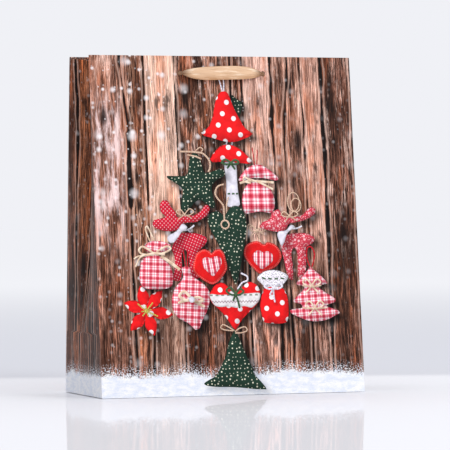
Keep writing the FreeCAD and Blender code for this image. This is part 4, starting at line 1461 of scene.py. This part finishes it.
def ribbon_tail(side, hand):
    """The end of ribbon hanging inside the bag from its hole."""
    word = "left" if hand < 0 else "right"
    low, high = (np.array(corner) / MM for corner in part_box(f"{side}_ribbon_tail_{word}"))
    turn = -1.0 if side == "back" else 1.0
    centre = turn * (low[0] + high[0]) / 2
    lean = LEAN[side]
    top, foot = high[2] / math.cos(lean), low[2] / math.cos(lean)
    run = np.linspace(0, 1, 70)[:, None]
    over = np.linspace(-1, 1, 13)[None]
    gathered = 1 - soft_step(run, 0.0, 0.22)
    end = soft_step(run, 0.93, 1.0)
    width = 4.4 * (1 - 0.62 * gathered - 0.5 * end)
    across = centre + over * width + 0.8 * np.sin(run * 5.0 + hand)
    up = top + (foot - top) * run
    wave = 0.45 * np.sin(run * 11.0 + hand * 1.3) + 0.3 * over * np.sin(run * 7.0 + 1.0)
    folds = gathered * 0.8 * np.cos(over * math.pi * 2.2)
    depth = 2.3 + wave * (1 - end) + folds
    points = on_panel(side, across, up, depth + bulge(across, up))
    along = 52 + 100 * run + 0 * over
    return ribbon_mesh(f"{side}_ribbon_hanging_end_{word}", points, along, over * 6.5 + 0 * run, 0.3)


# how much of its box a knot's core fills
KNOT_FILL = 0.94


def ribbon_knot(side, hand):
    """The overhand knot that stops a ribbon's end: wound lobes round a soft core."""
    word = "left" if hand < 0 else "right"
    low, high = (np.array(corner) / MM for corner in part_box(f"{side}_ribbon_knot_{word}"))
    centre = (low + high) / 2
    reach = (high - low) / 2
    work = bmesh.new()
    bmesh.ops.create_uvsphere(work, u_segments=48, v_segments=26, radius=1.0)
    for vertex in work.verts:
        x, y, z = vertex.co
        wrap = 0.10 * math.sin(5 * math.atan2(x, z + 0.2 * y) + 3.2 * y)
        waist = 0.12 * math.exp(-((z - 0.35 * x) / 0.16) ** 2)
        swell = min(1 + wrap - waist, 1.1)
        vertex.co = Vector(centre + np.array([x, y, z]) * reach * swell * KNOT_FILL) * MM
    mesh = bpy.data.meshes.new(f"{side}_ribbon_end_knot_{word}")
    work.to_mesh(mesh)
    work.free()
    wrapped = []
    for vertex in mesh.vertices:
        gap = (np.array(vertex.co) / MM - centre) / reach
        wrapped.append((152 + 4 * math.atan2(gap[0], gap[2]), 5.2 * gap[1]))
    fill_uv(mesh, "ribbon", wrapped)
    knot = add_object(mesh.name, mesh, [SATIN])
    shade_smooth(knot, 70)
    return knot


# ------------------------------------------------------------------ camera, floor and light

# the camera stands a little left of the front, level with the middle of the bag; degrees and metres
VIEW_YAW = 19.22
VIEW_PITCH = -0.14
VIEW_ROLL = -0.41
VIEW_FROM = (-0.9298, -2.7006, 0.1656)
# where the glossy table top gives way to the matt ground behind it, metres behind the bag's middle
TABLE_EDGE = (0.228, 0.312)
TABLE_GLOSS = 0.27


def camera():
    """A long lens, at the photograph's viewing angle."""
    data = bpy.data.cameras.new("studio_camera")
    data.sensor_width = 36.0
    data.lens = 240.0
    data.clip_end = 60.0
    data.dof.use_dof = False
    eye = bpy.data.objects.new("studio_camera", data)
    bpy.context.collection.objects.link(eye)
    yaw, pitch, roll = (math.radians(turn) for turn in (VIEW_YAW, VIEW_PITCH, VIEW_ROLL))
    turned = (Matrix.Rotation(-yaw, 4, "Z") @ Matrix.Rotation(math.pi / 2 + pitch, 4, "X")
              @ Matrix.Rotation(roll, 4, "Z"))
    eye.matrix_world = Matrix.Translation(VIEW_FROM) @ turned
    bpy.context.scene.camera = eye


def glossy_table():
    """A white table top, slightly glossy, whose far part falls back into the backdrop's tone."""
    f = Finish("white_table", roughness=0.9, Specular_IOR_Level=0.0)
    place = f.place()
    cloud = f.noise(f.moved(place, (1.4, 1.4, 1.4)), detail=2.0)
    colour = f.mix(cloud, srgb(235, 235, 238), srgb(239, 239, 242))
    # the far edge is fixed in the world, square to the camera's line of sight, as in the photograph
    y = f.split(f.moved(place, turn=VIEW_YAW))[1]
    far = f.between(y, *TABLE_EDGE)
    # painted shade: behind the table's edge the ground is darker near the edge and pales to white far off,
    # standing in for the backdrop's fall-off towards the horizon
    depth = f.mix(f.between(y, 0.3, 5.0), srgb(212, 213, 218), srgb(255, 255, 255))
    f.colour(f.mix(far, colour, depth))
    gloss = f.nodes.new("ShaderNodeBsdfGlossy")
    gloss.inputs["Roughness"].default_value = 0.03
    gloss.inputs["Color"].default_value = srgb(250, 250, 252)
    blend = f.nodes.new("ShaderNodeMixShader")
    f.links.new(f.between(y, *TABLE_EDGE, TABLE_GLOSS, 0.0), blend.inputs[0])
    f.links.new(f.shader.outputs[0], blend.inputs[1])
    f.links.new(gloss.outputs[0], blend.inputs[2])
    f.links.new(blend.outputs[0], f.nodes["Material Output"].inputs["Surface"])
    return f.material


def studio():
    """Floor, world and soft lights."""
    work = bmesh.new()
    bmesh.ops.create_grid(work, x_segments=2, y_segments=2, size=40.0)
    for vertex in work.verts:
        vertex.co.z = -0.0003
    mesh = bpy.data.meshes.new("table_top")
    work.to_mesh(mesh)
    work.free()
    table = add_object("table_top", mesh, [glossy_table()])

    world = bpy.data.worlds.new("pale_studio")
    bpy.context.scene.world = world
    world.use_nodes = True
    sky = world.node_tree.nodes["Background"]
    sky.inputs["Color"].default_value = srgb(240, 241, 246)
    sky.inputs["Strength"].default_value = 1.0
    for name, place, size, power in (
        ("key_softbox", (1.5, -2.3, 1.7), 1.3, 27.0),
        ("fill_softbox", (-0.6, -2.8, 1.2), 1.8, 3.0),
        ("top_softbox", (0.0, 0.6, 2.4), 1.6, 8.0),
    ):
        data = bpy.data.lights.new(name, "AREA")
        data.shape = "SQUARE"
        data.size = size
        data.energy = power
        lamp = bpy.data.objects.new(name, data)
        bpy.context.collection.objects.link(lamp)
        lamp.location = place
        aim = Vector((0, 0, 0.16)) - Vector(place)
        lamp.rotation_euler = aim.to_track_quat("-Z", "Y").to_euler()
    bpy.context.scene.view_settings.view_transform = "Standard"


# ------------------------------------------------------------------ putting it together

camera()
studio()

INSIDE = bare_paper()
WOOD = wood_print()
BOARD = grey_board()
SATIN = satin()
UNDERSIDE = snow_paper()
CLOTHS.update({
    "wood": WOOD,
    "big_spots": printed_cloth("red_cloth_white_spots", big_spots),
    "green_cloth": printed_cloth("green_cloth_cream_specks", cream_specks),
    "pin_spots": printed_cloth("red_cloth_pin_spots", pin_spots),
    "flower_spots": printed_cloth("rose_cloth_small_flowers", flower_spots),
    "gingham": printed_cloth("red_gingham", checked(10.0)),
    "small_gingham": printed_cloth("small_red_gingham", checked(6.6)),
    "fine_gingham": printed_cloth("striped_red_gingham", checked(5.8, 1.3, 0.45)),
    "felt": printed_cloth("red_stitched_felt", stitched_felt),
    "linen": printed_cloth("white_linen", white_linen, 0.66, 1.10),
    "lace": printed_cloth("white_lace", lace, 0.55, 1.12),
    "lace_band": printed_cloth("cream_lace_band", lace_band, 0.6, 1.1),
    "twine": twisted("jute_twine", (232, 200, 174), (168, 124, 98), 1.7),
    "raffia": twisted("pale_raffia", (248, 226, 200), (206, 162, 126), 9.0),
    "white_string": twisted("white_string", (246, 242, 250), (190, 182, 206), 2.6),
    "green_ribbon": twisted("green_ribbon", (74, 104, 70), (40, 64, 46), 3.2),
    "red_ribbon": twisted("red_ribbon", (206, 30, 44), (150, 16, 34), 3.2),
    "yellow_thread": twisted("yellow_thread", (206, 196, 96), (140, 128, 50), 2.0),
})


def carried(piece, body, slot, *nodes):
    """A piece that moves with one body, and the CAD nodes it stands for."""
    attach(piece, body)
    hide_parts(*nodes)


def bending(piece, side, *nodes):
    """Paper that stays where it was built, not moved with its panel; the CAD nodes it stands for are
    hidden.
    """
    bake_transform(piece)
    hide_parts(*nodes)


for side in ("front", "back"):
    body = side + "_panel"
    carried(printed_panel(side), body, "printed_paper", side + "_panel")
    carried(panel_hem(side), body, "printed_paper", side + "_hem")
    carried(hem_card(side), body, "grey_board", side + "_hem_card")
    carried(ribbon_band(side), side + "_handle", "satin_ribbon", side + "_ribbon_band")
    for hand in (-1, 1):
        word = "left" if hand < 0 else "right"
        carried(ribbon_tail(side, hand), body, "satin_ribbon", f"{side}_ribbon_tail_{word}")
        carried(ribbon_knot(side, hand), body, "satin_ribbon", f"{side}_ribbon_knot_{word}")
        stands_for = [f"{word}_gusset_{side}_half"]
        if side == "front":
            stands_for.append(f"{word}_gusset_foot")
        bending(gusset_half(hand, side), side, *stands_for)
        bending(gusset_hem(hand, side), side, f"{word}_gusset_{side}_hem")
carried(glued_seam(), "back_panel", "printed_paper", "side_seam_flap")

for node in frame["nodes"]:
    name = node if isinstance(node, str) else node["name"]
    finish = {"bottom": UNDERSIDE, "base_board": BOARD}
    for start, material in finish.items():
        if name.startswith(start):
            for holder in bpy.data.objects[name].material_slots:
                holder.material = material
